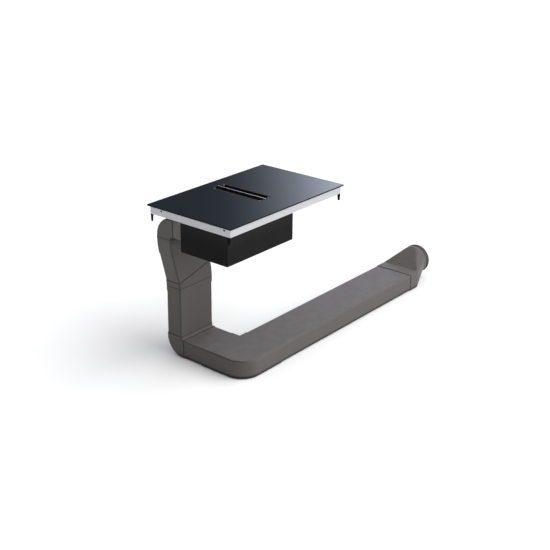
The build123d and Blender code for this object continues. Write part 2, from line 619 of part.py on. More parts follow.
def inlet_frame():
    """The flush black frame of the slot, with a skirt, corner lugs and notches for the bar."""
    frame = slab(SLOT_X, SLOT_Y, FRAME_WIDTH, FRAME_LENGTH, GLASS_UNDER, GLASS_TOP, 4)
    frame += slab(SLOT_X, SLOT_Y, SKIRT_WIDTH, SKIRT_LENGTH, GLASS_TOP - FRAME_SKIRT_DEPTH,
                  GLASS_UNDER, 4)
    frame -= slab(SLOT_X, SLOT_Y, SLOT_WIDTH, SLOT_LENGTH, GLASS_TOP - FRAME_SKIRT_DEPTH,
                  GLASS_TOP, 2)
    lug_top = GLASS_TOP - LUG_RECESS
    for side_x in (-1, 1):
        for side_y in (-1, 1):
            x = SLOT_X + side_x * (SLOT_WIDTH - LUG_SIZE + 1) / 2
            y = SLOT_Y + side_y * (SLOT_LENGTH - LUG_SIZE + 1) / 2
            frame += slab(x, y, LUG_SIZE + 1, LUG_SIZE + 1, lug_top - LUG_HEIGHT, lug_top, 5)
    notch = BAR_SEAT + FIT_GAP
    for side_y in (-1, 1):
        y = SLOT_Y + side_y * (SLOT_LENGTH + notch) / 2
        frame -= slab(SLOT_X, y, BAR_WIDTH + 2 * FIT_GAP, notch, GLASS_TOP - BAR_SUNK, GLASS_TOP)
    return frame


def rest_pads():
    """Four bright round pads on the frame's corner lugs."""
    pads = []
    bottom = GLASS_TOP - LUG_RECESS
    for side_x in (-1, 1):
        for side_y in (-1, 1):
            x = SLOT_X + side_x * (SLOT_WIDTH - LUG_SIZE) / 2
            y = SLOT_Y + side_y * (SLOT_LENGTH - LUG_SIZE) / 2
            pad = rod(x, y, bottom, bottom + PAD_HEIGHT, PAD_RADIUS)
            pads.append(fillet(pad.faces().sort_by(Axis.Z)[-1].edges(), PAD_HEIGHT / 2))
    return Compound(children=pads)


BAR_BOTTOM = GLASS_TOP - BAR_SUNK + REST_GAP
SPINE_TOP = BAR_BOTTOM - BAR_WEB_DEPTH
SPINE_UNDER = SPINE_TOP - CAGE_SPINE_HEIGHT
FILTER_TOP = SPINE_UNDER
FILTER_BOTTOM = FILTER_TOP - FILTER_HEIGHT
CAGE_BOTTOM = FILTER_BOTTOM - CAGE_RAIL


def handle_bar():
    """The aluminium bar that spans the slot: the insert hangs from it and is lifted by it."""
    bar = slab(SLOT_X, SLOT_Y, BAR_WIDTH, SLOT_LENGTH + 2 * BAR_SEAT, BAR_BOTTOM,
               BAR_BOTTOM + BAR_THICKNESS)
    bar = fillet(bar.faces().sort_by(Axis.Z)[-1].edges(), 0.8)
    return bar + slab(SLOT_X, SLOT_Y, BAR_WEB, CAGE_LENGTH, SPINE_TOP, BAR_BOTTOM)


GROOVE_WIDTH = FILTER_THICKNESS + 2 * REST_GAP
RAIL_WIDTH = GROOVE_WIDTH + 2 * GUIDE_WALL
FILTER_LENGTH = CAGE_LENGTH - 2 * CAGE_PLATE - 2 * REST_GAP


def filter_place(side):
    """The x of a filter's middle plane, which is also the middle of its groove and rail."""
    return SLOT_X + side * (CAGE_WIDTH - RAIL_WIDTH) / 2


def filter_cage():
    """The black cage: end plates with a groove for each filter, the spine and two bottom rails."""
    cage = slab(SLOT_X, SLOT_Y, CAGE_SPINE_WIDTH, CAGE_LENGTH, SPINE_UNDER, SPINE_TOP)
    for side_y in (-1, 1):
        y = SLOT_Y + side_y * (CAGE_LENGTH - CAGE_PLATE) / 2
        cage += slab(SLOT_X, y, CAGE_WIDTH, CAGE_PLATE, CAGE_BOTTOM, SPINE_TOP)
    for side_x in (-1, 1):
        x = filter_place(side_x)
        cage += slab(x, SLOT_Y, RAIL_WIDTH, CAGE_LENGTH, CAGE_BOTTOM, FILTER_BOTTOM - REST_GAP)
        for side_y in (-1, 1):
            y = SLOT_Y + side_y * (CAGE_LENGTH / 2 - CAGE_PLATE - GUIDE_DEPTH / 2)
            guides = slab(x, y, RAIL_WIDTH, GUIDE_DEPTH, CAGE_BOTTOM, SPINE_TOP)
            cage += guides - slab(x, y, GROOVE_WIDTH, GUIDE_DEPTH, FILTER_BOTTOM - REST_GAP, SPINE_TOP)
    return cage


def filter_frame(side):
    """A steel filter frame with a lip round its window on the inner side."""
    x = filter_place(side)
    frame = slab(x, SLOT_Y, FILTER_THICKNESS, FILTER_LENGTH, FILTER_BOTTOM, FILTER_TOP)
    bottom = FILTER_BOTTOM + FILTER_BORDER
    top = FILTER_TOP - FILTER_BORDER
    window = slab(x, SLOT_Y, FILTER_THICKNESS, FILTER_LENGTH - 2 * FILTER_BORDER, bottom, top)
    pocket = slab(x + side * FILTER_LIP / 2, SLOT_Y, FILTER_THICKNESS - FILTER_LIP,
                  FILTER_LENGTH - FILTER_BORDER, bottom - FILTER_BORDER / 2, top + FILTER_BORDER / 2)
    return frame - window - pocket


def filter_mesh(side):
    """The folded aluminium mesh that sits in the frame's pocket."""
    x = filter_place(side) + side * FILTER_LIP / 2
    depth = FILTER_THICKNESS - FILTER_LIP - 2 * MESH_SHEET
    length = FILTER_LENGTH - FILTER_BORDER - 2 * FIT_GAP
    pitch = length / FILTER_FOLDS
    front = []
    for fold in range(FILTER_FOLDS + 1):
        offset = depth / 2 if fold % 2 else -depth / 2
        front.append((x + offset - MESH_SHEET / 2, SLOT_Y - length / 2 + fold * pitch))
    back = [(px + MESH_SHEET * 1.4, py) for px, py in reversed(front)]
    outline = make_face(Polyline(*front, *back, close=True))
    bottom = FILTER_BOTTOM + FILTER_BORDER / 2 + REST_GAP
    top = FILTER_TOP - FILTER_BORDER / 2 - REST_GAP
    return extrude(Pos(0, 0, bottom) * outline, top - bottom)


def drip_pan():
    """The shallow pan under the cage, held by a tongue behind each end plate."""
    top = CAGE_BOTTOM - REST_GAP
    bottom = top - PAN_DEPTH
    pan = slab(SLOT_X, SLOT_Y, CAGE_WIDTH, CAGE_LENGTH, bottom, top, 4)
    pan -= slab(SLOT_X, SLOT_Y, CAGE_WIDTH - 2 * PAN_WALL, CAGE_LENGTH - 2 * PAN_WALL,
                bottom + PAN_WALL, top, 2.5)
    for side_y in (-1, 1):
        y = SLOT_Y + side_y * (CAGE_LENGTH / 2 - CAGE_PLATE - REST_GAP - PAN_WALL / 2)
        pan += slab(SLOT_X, y, PAN_TONGUE_WIDTH, PAN_WALL, bottom, top + PAN_TONGUE_HEIGHT)
    return pan


# ---------------------------------------------------------------- housing
def housing_outline(trim):
    """The housing in plan: the fan's box, and the filter chamber that runs on behind it."""
    points = [
        (HOUSING_LEFT + trim, HOUSING_FRONT + trim),
        (CHAMBER_RIGHT - trim, HOUSING_FRONT + trim),
        (CHAMBER_RIGHT - trim, CHAMBER_BACK - trim),
        (CHAMBER_LEFT + trim, CHAMBER_BACK - trim),
        (CHAMBER_LEFT + trim, HOUSING_BACK - trim),
        (HOUSING_LEFT + trim, HOUSING_BACK - trim),
    ]
    face = make_face(Polyline(*points, close=True))
    return fillet(face.vertices(), HOUSING_CORNER - min(trim, HOUSING_CORNER - 1))


OUTLET_PLANE = Plane(origin=(TOP_RUN_X, HOUSING_BACK, TOP_RUN_Z), x_dir=(1, 0, 0), z_dir=(0, 1, 0))


def housing_pan():
    """The deep lower half of the housing, with screw bosses and the hole for the spigot."""
    pan = extrude(Pos(0, 0, HOUSING_BOTTOM) * housing_outline(0), LID_UNDER - HOUSING_BOTTOM)
    pan -= extrude(Pos(0, 0, HOUSING_FLOOR) * housing_outline(HOUSING_WALL), LID_UNDER - HOUSING_FLOOR)
    for x, y in housing_screw_places():
        pan += rod(x, y, HOUSING_FLOOR - 1, LID_UNDER, BOSS_RADIUS)
        reach = BOSS_INSET + 1
        wall_x = HOUSING_LEFT if x < (HOUSING_LEFT + CHAMBER_LEFT) / 2 else None
        wall_x = CHAMBER_RIGHT if x > SLOT_X else wall_x
        if wall_x is not None:
            side = -1 if wall_x == HOUSING_LEFT else 1
            pan += slab(x + side * reach / 2, y, reach, 2.5, HOUSING_FLOOR - 1, LID_UNDER)
        side = -1 if y < (HOUSING_FRONT + HOUSING_BACK) / 2 else 1
        pan += slab(x, y + side * reach / 2, 2.5, reach, HOUSING_FLOOR - 1, LID_UNDER)
        pan -= rod(x, y, LID_UNDER - SCREW_LENGTH, LID_UNDER, SCREW_RADIUS + RUNNING_GAP)
    pan -= extrude(fitting_section(OUTLET_PLANE, True), -3 * HOUSING_WALL)
    return pan


def housing_lid():
    """The flat lid between the housing and the tray, with a hole for the funnel."""
    lid = extrude(Pos(0, 0, LID_UNDER) * housing_outline(0), HOUSING_WALL)
    lid -= slab(SLOT_X, SLOT_Y, FUNNEL_WIDTH + 2 * FIT_GAP, FUNNEL_LENGTH + 2 * FIT_GAP,
                LID_UNDER, HOUSING_TOP, 6)
    for x, y in housing_screw_places():
        lid -= rod(x, y, LID_UNDER, HOUSING_TOP, SCREW_RADIUS + RUNNING_GAP)
    return lid


def housing_screws():
    """The screws that hang the housing from the tray, heads inside the tray."""
    screws = []
    for x, y in housing_screw_places():
        shank = rod(x, y, LID_UNDER - SCREW_LENGTH + 2, TRAY_FLOOR, SCREW_RADIUS)
        head = rod(x, y, TRAY_FLOOR, TRAY_FLOOR + SCREW_HEAD_HEIGHT, SCREW_HEAD_RADIUS)
        screws.append(shank + head)
    return Compound(children=screws)


# ---------------------------------------------------------------- fan
SCROLL_OUT_WIDTH = DUCT_WIDTH - 2 * DUCT_WALL
SCROLL_FIRST_RADIUS = FAN_RADIUS + FAN_TIP_GAP
SCROLL_LEFT = TOP_RUN_X - SCROLL_OUT_WIDTH / 2
SCROLL_TONGUE_X = TOP_RUN_X + SCROLL_OUT_WIDTH / 2
FAN_X = SCROLL_TONGUE_X - SCROLL_FIRST_RADIUS * math.cos(math.radians(SCROLL_TONGUE_ANGLE))
SCROLL_LAST_RADIUS = FAN_X - SCROLL_LEFT
SCROLL_SWEEP = 180 + SCROLL_TONGUE_ANGLE
FAN_Y = (HOUSING_FRONT + HOUSING_BACK) / 2 - 1.5
SCROLL_TOP = LID_UNDER
SCROLL_BOTTOM = TOP_RUN_Z - DUCT_HEIGHT / 2
SCROLL_END = HOUSING_BACK - HOUSING_WALL


def spiral_point(turned, extra):
    """A point on the scroll's wall, turned degrees on from the tongue."""
    growth = (SCROLL_LAST_RADIUS - SCROLL_FIRST_RADIUS) * turned / SCROLL_SWEEP
    radius = SCROLL_FIRST_RADIUS + growth + extra
    return polar(FAN_X, FAN_Y, radius, SCROLL_TONGUE_ANGLE - turned)


def scroll_outline(extra):
    """The scroll in plan: a growing spiral in arcs, and the straight way out at the back."""
    pieces = []
    step = SCROLL_SWEEP / SCROLL_STEPS
    for number in range(SCROLL_STEPS):
        start = spiral_point(number * step, extra)
        middle = spiral_point((number + 0.5) * step, extra)
        end = spiral_point((number + 1) * step, extra)
        pieces.append(ThreePointArc(start, middle, end))
    first = spiral_point(0, extra)
    last = spiral_point(SCROLL_SWEEP, extra)
    right = SCROLL_TONGUE_X + extra
    pieces.append(Line(last, (last[0], SCROLL_END)))
    pieces.append(Line((last[0], SCROLL_END), (right, SCROLL_END)))
    pieces.append(Line((right, SCROLL_END), (right, first[1])))
    if abs(right - first[0]) > 0.001:
        pieces.append(Line((right, first[1]), first))
    return make_face(Wire(pieces))


def fan_scroll():
    """The scroll round the impeller: open at the back, with the intake hole underneath."""
    shell = extrude(Pos(0, 0, SCROLL_BOTTOM) * scroll_outline(SCROLL_WALL), SCROLL_TOP - SCROLL_BOTTOM)
    inner = extrude(Pos(0, 0, SCROLL_BOTTOM + SCROLL_WALL) * scroll_outline(0),
                    SCROLL_TOP - SCROLL_BOTTOM - 2 * SCROLL_WALL)
    shell -= inner
    shell -= rod(FAN_X, FAN_Y, SCROLL_BOTTOM, SCROLL_BOTTOM + SCROLL_WALL, INTAKE_RADIUS + SCROLL_WALL)
    return shell


def inlet_ring():
    """The bell mouth under the scroll, curved so that air turns up into the impeller."""
    lip_top = SCROLL_BOTTOM
    throat = INTAKE_RADIUS + SCROLL_WALL - RUNNING_GAP
    flange = rod(FAN_X, FAN_Y, lip_top - 2, lip_top, throat + INTAKE_LIP)
    neck = rod(FAN_X, FAN_Y, lip_top - 2, lip_top + 8, throat)
    ring = flange + neck - rod(FAN_X, FAN_Y, lip_top - 2, lip_top + 8, INTAKE_RADIUS)
    mouth = ring.faces().sort_by(Axis.Z)[0].inner_wires()[0].edges()
    return fillet(mouth, 1.5)


IMPELLER_TOP = SCROLL_TOP - SCROLL_WALL - 10.0
IMPELLER_BOTTOM = SCROLL_BOTTOM + 14.0
MOTOR_PLATE_THICKNESS = 3.0
MOTOR_TOP = SCROLL_TOP - SCROLL_WALL - MOTOR_PLATE_THICKNESS
MOTOR_BOTTOM = MOTOR_TOP - MOTOR_HEIGHT
DOME_RADIUS = MOTOR_RADIUS + MOTOR_GAP
DOME_BOTTOM = MOTOR_BOTTOM - MOTOR_GAP


def impeller():
    """The centrifugal wheel: a domed back plate over the motor, blades and an intake ring."""
    wheel = rod(FAN_X, FAN_Y, IMPELLER_TOP - FAN_PLATE, IMPELLER_TOP, FAN_RADIUS)
    wheel += rod(FAN_X, FAN_Y, DOME_BOTTOM - FAN_PLATE, IMPELLER_TOP, DOME_RADIUS + FAN_PLATE)
    wheel -= rod(FAN_X, FAN_Y, DOME_BOTTOM, IMPELLER_TOP, DOME_RADIUS)
    wheel += rod(FAN_X, FAN_Y, DOME_BOTTOM - FAN_HUB_DROP, DOME_BOTTOM - FAN_PLATE / 2, FAN_HUB_RADIUS)
    ring = rod(FAN_X, FAN_Y, IMPELLER_BOTTOM, IMPELLER_BOTTOM + FAN_PLATE, FAN_RADIUS)
    ring -= rod(FAN_X, FAN_Y, IMPELLER_BOTTOM, IMPELLER_BOTTOM + FAN_PLATE, FAN_RADIUS - FAN_BLADE_CHORD / 2)
    wheel += ring
    height = IMPELLER_TOP - IMPELLER_BOTTOM - FAN_PLATE
    blade = Box(FAN_BLADE_CHORD, FAN_BLADE_THICKNESS, height)
    middle = FAN_RADIUS - FAN_BLADE_CHORD / 2 - 1
    for number in range(FAN_BLADES):
        turn = Rot(0, 0, 360 * number / FAN_BLADES)
        place = Pos(FAN_X, FAN_Y, (IMPELLER_TOP + IMPELLER_BOTTOM) / 2) * turn
        wheel += place * Pos(middle, 0, 0) * Rot(0, 0, FAN_BLADE_ANGLE) * blade
    return wheel - rod(FAN_X, FAN_Y, DOME_BOTTOM - FAN_HUB_DROP, DOME_BOTTOM, SHAFT_RADIUS + 0.02)


def motor_shaft():
    """The shaft, fixed in the impeller's hub and running in the motor."""
    return rod(FAN_X, FAN_Y, DOME_BOTTOM - FAN_HUB_DROP, MOTOR_TOP - 8, SHAFT_RADIUS)


def motor():
    """The motor that hangs inside the impeller's dome."""
    can = rod(FAN_X, FAN_Y, MOTOR_BOTTOM, MOTOR_TOP, MOTOR_RADIUS)
    can = fillet(can.faces().sort_by(Axis.Z)[0].edges(), 3)
    return can - rod(FAN_X, FAN_Y, MOTOR_BOTTOM, MOTOR_TOP - 7.5, SHAFT_RADIUS + RUNNING_GAP)


def motor_plate():
    """The round plate between the motor and the scroll's roof."""
    top = SCROLL_TOP - SCROLL_WALL
    plate = rod(FAN_X, FAN_Y, MOTOR_TOP, top, MOTOR_PLATE_RADIUS)
    for number in range(4):
        hole_x, hole_y = polar(FAN_X, FAN_Y, MOTOR_PLATE_RADIUS - 7, 45 + 90 * number)
        plate -= rod(hole_x, hole_y, MOTOR_TOP, top, SCREW_RADIUS)
    return plate


# ---------------------------------------------------------------- spigot and backdraft flap
FLAP_Y = HOUSING_BACK + FLAP_SET_BACK
FLAP_PIN_Z = TOP_RUN_Z + DUCT_HEIGHT / 2 - DUCT_WALL - FLAP_KNUCKLE - FLAP_GAP
FLAP_STOP = 4.0


def outlet_spigot():
    """The flanged spigot on the housing's back that the duct slips over."""
    inside = OUTLET_PLANE.offset(-HOUSING_WALL)
    tube = straight_duct(inside, HOUSING_WALL + SPIGOT_LENGTH + SLIP_DEPTH)
    flange = extrude(section(OUTLET_PLANE, DUCT_WIDTH + 2 * SPIGOT_FLANGE,
                             DUCT_HEIGHT + 2 * SPIGOT_FLANGE - 2, DUCT_CORNER + SPIGOT_FLANGE),
                     SPIGOT_FLANGE_THICKNESS)
    flange -= extrude(duct_section(OUTLET_PLANE, True), SPIGOT_FLANGE_THICKNESS)
    floor = TOP_RUN_Z - DUCT_HEIGHT / 2 + DUCT_WALL
    stop_back = FLAP_Y - FLAP_THICKNESS / 2 - REST_GAP
    stop = block(TOP_RUN_X - DUCT_WIDTH / 2 + DUCT_CORNER, TOP_RUN_X + DUCT_WIDTH / 2 - DUCT_CORNER,
                 stop_back - 2.5, stop_back, floor - 1, floor + FLAP_STOP)
    hole = Pos(TOP_RUN_X, FLAP_Y, FLAP_PIN_Z) * Rot(0, 90, 0)
    return tube + flange + stop - hole * Cylinder(PIN_RADIUS + RUNNING_GAP, DUCT_WIDTH + 2)


def flap_pin():
    """The steel pin across the spigot that the flap swings on."""
    place = Pos(TOP_RUN_X, FLAP_Y, FLAP_PIN_Z) * Rot(0, 90, 0)
    return place * Cylinder(PIN_RADIUS, DUCT_WIDTH - 1)


def backdraft_flap():
    """The flap that hangs shut behind its stop and swings open in the air stream."""
    half = DUCT_WIDTH / 2 - DUCT_WALL - FLAP_GAP
    bottom = TOP_RUN_Z - DUCT_HEIGHT / 2 + DUCT_WALL + FLAP_GAP
    width = 2 * half
    height = FLAP_PIN_Z - bottom
    plane = Plane(origin=(TOP_RUN_X, FLAP_Y + FLAP_THICKNESS / 2, (FLAP_PIN_Z + bottom) / 2),
                  x_dir=(1, 0, 0), z_dir=(0, -1, 0))
    leaf = extrude(plane * RectangleRounded(width, height, DUCT_CORNER - DUCT_WALL), FLAP_THICKNESS)
    across = Pos(TOP_RUN_X, FLAP_Y, FLAP_PIN_Z) * Rot(0, 90, 0)
    leaf += across * Cylinder(FLAP_KNUCKLE, width - 2 * (DUCT_CORNER - DUCT_WALL))
    return leaf - across * Cylinder(PIN_RADIUS + RUNNING_GAP, width)


# ---------------------------------------------------------------- duct run
def vertical_bend(seam_plane, turn_axis):
    """A flat 90 degree bend that starts at a seam, with a socket at each end."""
    start = seam_plane.offset(SOCKET_LENGTH)
    body = swept_fitting(start, turn_axis, 90)
    return socket(seam_plane, SOCKET_LENGTH) + body


def top_bend():
    """The bend behind the housing that turns the air down."""
    seam = Plane(origin=(TOP_RUN_X, TOP_SEAM_Y, TOP_RUN_Z), x_dir=(1, 0, 0), z_dir=(0, 1, 0))
    pivot = (TOP_RUN_X, TOP_SEAM_Y + SOCKET_LENGTH, TOP_RUN_Z - BEND_CENTRE_RADIUS)
    down = Plane(origin=(TOP_RUN_X, RISER_Y, TOP_BEND_SEAM), x_dir=(1, 0, 0), z_dir=(0, 0, 1))
    return vertical_bend(seam, Axis(pivot, (-1, 0, 0))) + socket(down, SOCKET_LENGTH)


def lower_bend():
    """The bend at the riser's foot that turns the air forward along the floor."""
    seam = Plane(origin=(RISER_X, RISER_Y, LOWER_BEND_SEAM), x_dir=(1, 0, 0), z_dir=(0, 0, -1))
    pivot = (RISER_X, TOP_SEAM_Y + SOCKET_LENGTH, FLOOR_RUN_Z + BEND_CENTRE_RADIUS)
    forward = Plane(origin=(RISER_X, TOP_SEAM_Y, FLOOR_RUN_Z), x_dir=(1, 0, 0), z_dir=(0, 1, 0))
    return vertical_bend(seam, Axis(pivot, (-1, 0, 0))) + socket(forward, SOCKET_LENGTH)


RISER_TOP_PLANE = Plane(origin=(RISER_X, RISER_Y, RISER_TOP), x_dir=(1, 0, 0), z_dir=(0, 0, 1))
LEAN_START = Plane(
    origin=(RISER_X - OFFSET_ELBOW_SHIFT, RISER_Y, RISER_TOP + OFFSET_ELBOW_RISE),
    x_dir=(math.cos(OFFSET_TURN), 0, math.sin(OFFSET_TURN)),
    z_dir=(-math.sin(OFFSET_TURN), 0, math.cos(OFFSET_TURN)),
)
LEAN_END = LEAN_START.offset(OFFSET_LENGTH)


def lower_offset_elbow():
    """The 15 degree elbow that leans the duct towards the unit."""
    pivot = (RISER_X - OFFSET_RADIUS, RISER_Y, RISER_TOP)
    elbow = swept_fitting(RISER_TOP_PLANE, Axis(pivot, (0, -1, 0)), OFFSET_ANGLE)
    elbow += socket(RISER_TOP_PLANE.offset(-ELBOW_SOCKET), ELBOW_SOCKET)
    return elbow - groove(RISER_TOP_PLANE)


def upper_offset_elbow():
    """The same elbow turned round, which stands the duct upright again."""
    pivot = (TOP_RUN_X + OFFSET_RADIUS, RISER_Y, TOP_BEND_SEAM)
    seam = Plane(origin=(TOP_RUN_X, RISER_Y, TOP_BEND_SEAM), x_dir=(1, 0, 0), z_dir=(0, 0, 1))
    return swept_fitting(seam, Axis(pivot, (0, -1, 0)), OFFSET_ANGLE)


def bend_connector():
    """The short nipple inside the joint of the top bend and the elbow under it."""
    start = Plane(origin=(TOP_RUN_X, RISER_Y, TOP_BEND_SEAM - SLIP_DEPTH), x_dir=(1, 0, 0), z_dir=(0, 0, 1))
    return straight_duct(start, 2 * SLIP_DEPTH)


def offset_duct():
    """The short straight duct that leans between the two elbows."""
    return straight_duct(LEAN_START.offset(-SLIP_DEPTH), OFFSET_LENGTH + 2 * SLIP_DEPTH)


def riser_duct():
    """The upright duct."""
    start = Plane(origin=(RISER_X, RISER_Y, LOWER_BEND_SEAM - SLIP_DEPTH), x_dir=(1, 0, 0), z_dir=(0, 0, 1))
    return straight_duct(start, RISER_TOP - REST_GAP - LOWER_BEND_SEAM + SLIP_DEPTH)


def side_duct():
    """The short floor duct that comes forward from the riser's foot."""
    start = Plane(origin=(RISER_X, SIDE_RUN_SEAM - SLIP_DEPTH, FLOOR_RUN_Z), x_dir=(1, 0, 0), z_dir=(0, 1, 0))
    return straight_duct(start, TOP_SEAM_Y - SIDE_RUN_SEAM + 2 * SLIP_DEPTH)


def corner_solid(trim, height, open_ends):
    """The flat corner in plan, pulled up to a height, with its long edges rounded."""
    left = RISER_X - FITTING_WIDTH / 2 + trim
    front = FLOOR_RUN_FRONT + trim
    inner_x = CORNER_X - trim
    inner_y = CORNER_Y - trim
    far_y = SIDE_RUN_SEAM + open_ends
    far_x = LONG_RUN_START + open_ends
    outer = CORNER_OUTER_RADIUS - trim
    outline = Wire([
        Line((left, far_y), (left, front + outer)),
        RadiusArc((left, front + outer), (left + outer, front), -outer),
        Line((left + outer, front), (far_x, front)),
        Line((far_x, front), (far_x, inner_y)),
        Line((far_x, inner_y), (inner_x, inner_y)),
        Line((inner_x, inner_y), (inner_x, far_y)),
        Line((inner_x, far_y), (left, far_y)),
    ])
    body = extrude(Pos(0, 0, FLOOR_RUN_Z - height / 2) * make_face(outline), height)
    ends = [edge for edge in body.edges()
            if abs(edge.center().Z - FLOOR_RUN_Z) > height / 2 - 0.01
            and abs(edge.center().Y - far_y) > 0.01
            and abs(edge.center().X - far_x) > 0.01]
    return fillet(ends, FITTING_CORNER - trim)


def corner_bend():
    """The wide flat bend that turns the floor run along the cabinet, nearly sharp inside."""
    outer = corner_solid(0, FITTING_HEIGHT, 0)
    inner = corner_solid(FITTING_WALL, FITTING_IN_HEIGHT, 1)
    return outer - inner


def long_duct():
    """The long floor duct."""
    start = Plane(origin=(LONG_RUN_START - SLIP_DEPTH, LONG_RUN_Y, FLOOR_RUN_Z),
                  x_dir=(0, 1, 0), z_dir=(1, 0, 0))
    return straight_duct(start, LONG_RUN_END - LONG_RUN_START + 2 * SLIP_DEPTH)


def flat_loop(x, width, height, corner, centre_z):
    """The rounded rectangle at the adapter's flat end, as eight matched edges."""
    w = width / 2
    h = height / 2
    straight = [((w, -h + corner), (w, h - corner)), ((w - corner, h), (-w + corner, h)),
                ((-w, h - corner), (-w, -h + corner)), ((-w + corner, -h), (w - corner, -h))]
    return loop_from(straight, x, centre_z, corner)


def round_loop(x, radius, centre_z):
    """The circle at the adapter's round end, split where the flat sides run out."""
    straight = []
    for number in range(4):
        middle = 90 * number
        start = polar(0, 0, radius, middle - OUTLET_FLAT_ARC / 2)
        end = polar(0, 0, radius, middle + OUTLET_FLAT_ARC / 2)
        straight.append((start, end))
    return loop_from(straight, x, centre_z, radius, True)


def loop_from(straight, x, centre_z, radius, all_round=False):
    """Joins four sides with four corner arcs into a closed wire on a plane across x."""
    plane = Plane(origin=(x, LONG_RUN_Y, centre_z), x_dir=(0, 1, 0), z_dir=(1, 0, 0))
    pieces = []
    for number in range(4):
        start, end = straight[number]
        following = straight[(number + 1) % 4][0]
        pieces.append(RadiusArc(start, end, -radius) if all_round else Line(start, end))
        pieces.append(RadiusArc(end, following, -radius))
    return plane * make_face(Wire(pieces))


def adapter_body(trim, start_x, end_x):
    """The adapter's outer or inner shape: flat part, taper and round collar."""
    taper_start = LONG_RUN_END + ADAPTER_FLAT
    taper_end = taper_start + ADAPTER_TAPER
    plane = Plane(origin=(start_x, LONG_RUN_Y, FLOOR_RUN_Z), x_dir=(0, 1, 0), z_dir=(1, 0, 0))
    flat = extrude(fitting_section(plane, trim > 0), taper_start - start_x)
    radius = OUTLET_RADIUS + OUTLET_WALL - trim
    first = flat_loop(taper_start, FITTING_WIDTH - 2 * trim, FITTING_HEIGHT - 2 * trim,
                      FITTING_CORNER - trim, FLOOR_RUN_Z)
    last = round_loop(taper_end, radius, OUTLET_RAISE)
    taper = loft([first, last], ruled=True)
    collar_plane = Plane(origin=(taper_end, LONG_RUN_Y, OUTLET_RAISE), x_dir=(0, 1, 0), z_dir=(1, 0, 0))
    collar = extrude(collar_plane * Circle(radius), end_x - taper_end)
    return flat + taper + collar


def outlet_adapter():
    """The adapter from the flat duct to the round outlet, which rises to its collar."""
    outer = adapter_body(0, LONG_RUN_END, ADAPTER_END)
    inner = adapter_body(FITTING_WALL, LONG_RUN_END - 1, ADAPTER_END + 1)
    return outer - inner


def outlet_seal_ring():
    """The black rubber ring over the collar's end, which seals it in the wall."""
    inner = OUTLET_RADIUS + OUTLET_WALL + RUNNING_GAP
    start = ADAPTER_END - RING_LAP
    plane = Plane(origin=(start, LONG_RUN_Y, OUTLET_RAISE), x_dir=(0, 1, 0), z_dir=(1, 0, 0))
    ring = extrude(plane * Circle(inner + RING_WALL), RING_WIDTH)
    return ring - extrude(plane * Circle(inner), RING_WIDTH)


# ---------------------------------------------------------------- writing the pieces
save("glass_top", glass_top())
save("edge_seal", edge_seal())
save("steel_tray", steel_tray())
save("hold_down_clips", hold_down_clips())
save("housing_screws", housing_screws())
save("coil_plate", coil_plate())
save("plate_pillars", plate_pillars())
for place in COIL_PLACES:
    save(f"coil_former_{place}", coil_former(place))
    save(f"coil_winding_{place}", coil_winding(place))
for side in ("left", "right"):
    save(f"power_board_{side}", power_board(side))
    save(f"heat_sink_{side}", heat_sink(side))
    save(f"cooling_fan_frame_{side}", cooling_fan_frame(side))
    save(f"cooling_fan_rotor_{side}", cooling_fan_rotor(side))
save("touch_carrier", touch_carrier())
save("touch_board", touch_board())
save("terminal_box", terminal_box())
save("cable_gland", cable_gland())
save("inlet_funnel", inlet_funnel())
save("inlet_frame", inlet_frame())
save("rest_pads", rest_pads())
save("handle_bar", handle_bar())
save("filter_cage", filter_cage())
for side_name, side_sign in (("left", -1), ("right", 1)):
    save(f"filter_frame_{side_name}", filter_frame(side_sign))
    save(f"filter_mesh_{side_name}", filter_mesh(side_sign))
save("drip_pan", drip_pan())
save("housing_pan", housing_pan())
save("housing_lid", housing_lid())
save("fan_scroll", fan_scroll())
save("inlet_ring", inlet_ring())
save("impeller", impeller())
save("motor_shaft", motor_shaft())
save("motor", motor())
save("motor_plate", motor_plate())
save("outlet_spigot", outlet_spigot())
save("flap_pin", flap_pin())
save("backdraft_flap", backdraft_flap())
save("top_bend", top_bend())
save("bend_connector", bend_connector())
save("upper_offset_elbow", upper_offset_elbow())
save("offset_duct", offset_duct())
save("lower_offset_elbow", lower_offset_elbow())
save("riser_duct", riser_duct())
save("lower_bend", lower_bend())
save("side_duct", side_duct())
save("corner_bend", corner_bend())
save("long_duct", long_duct())
save("outlet_adapter", outlet_adapter())
save("outlet_seal_ring", outlet_seal_ring())
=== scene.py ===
"""Finishes, small fittings and the studio for a downdraft vent hob with its flat duct run."""

import math

import bmesh
import bpy
from bpy.props import FloatProperty, FloatVectorProperty, IntProperty, PointerProperty
from mathutils import Matrix, Vector


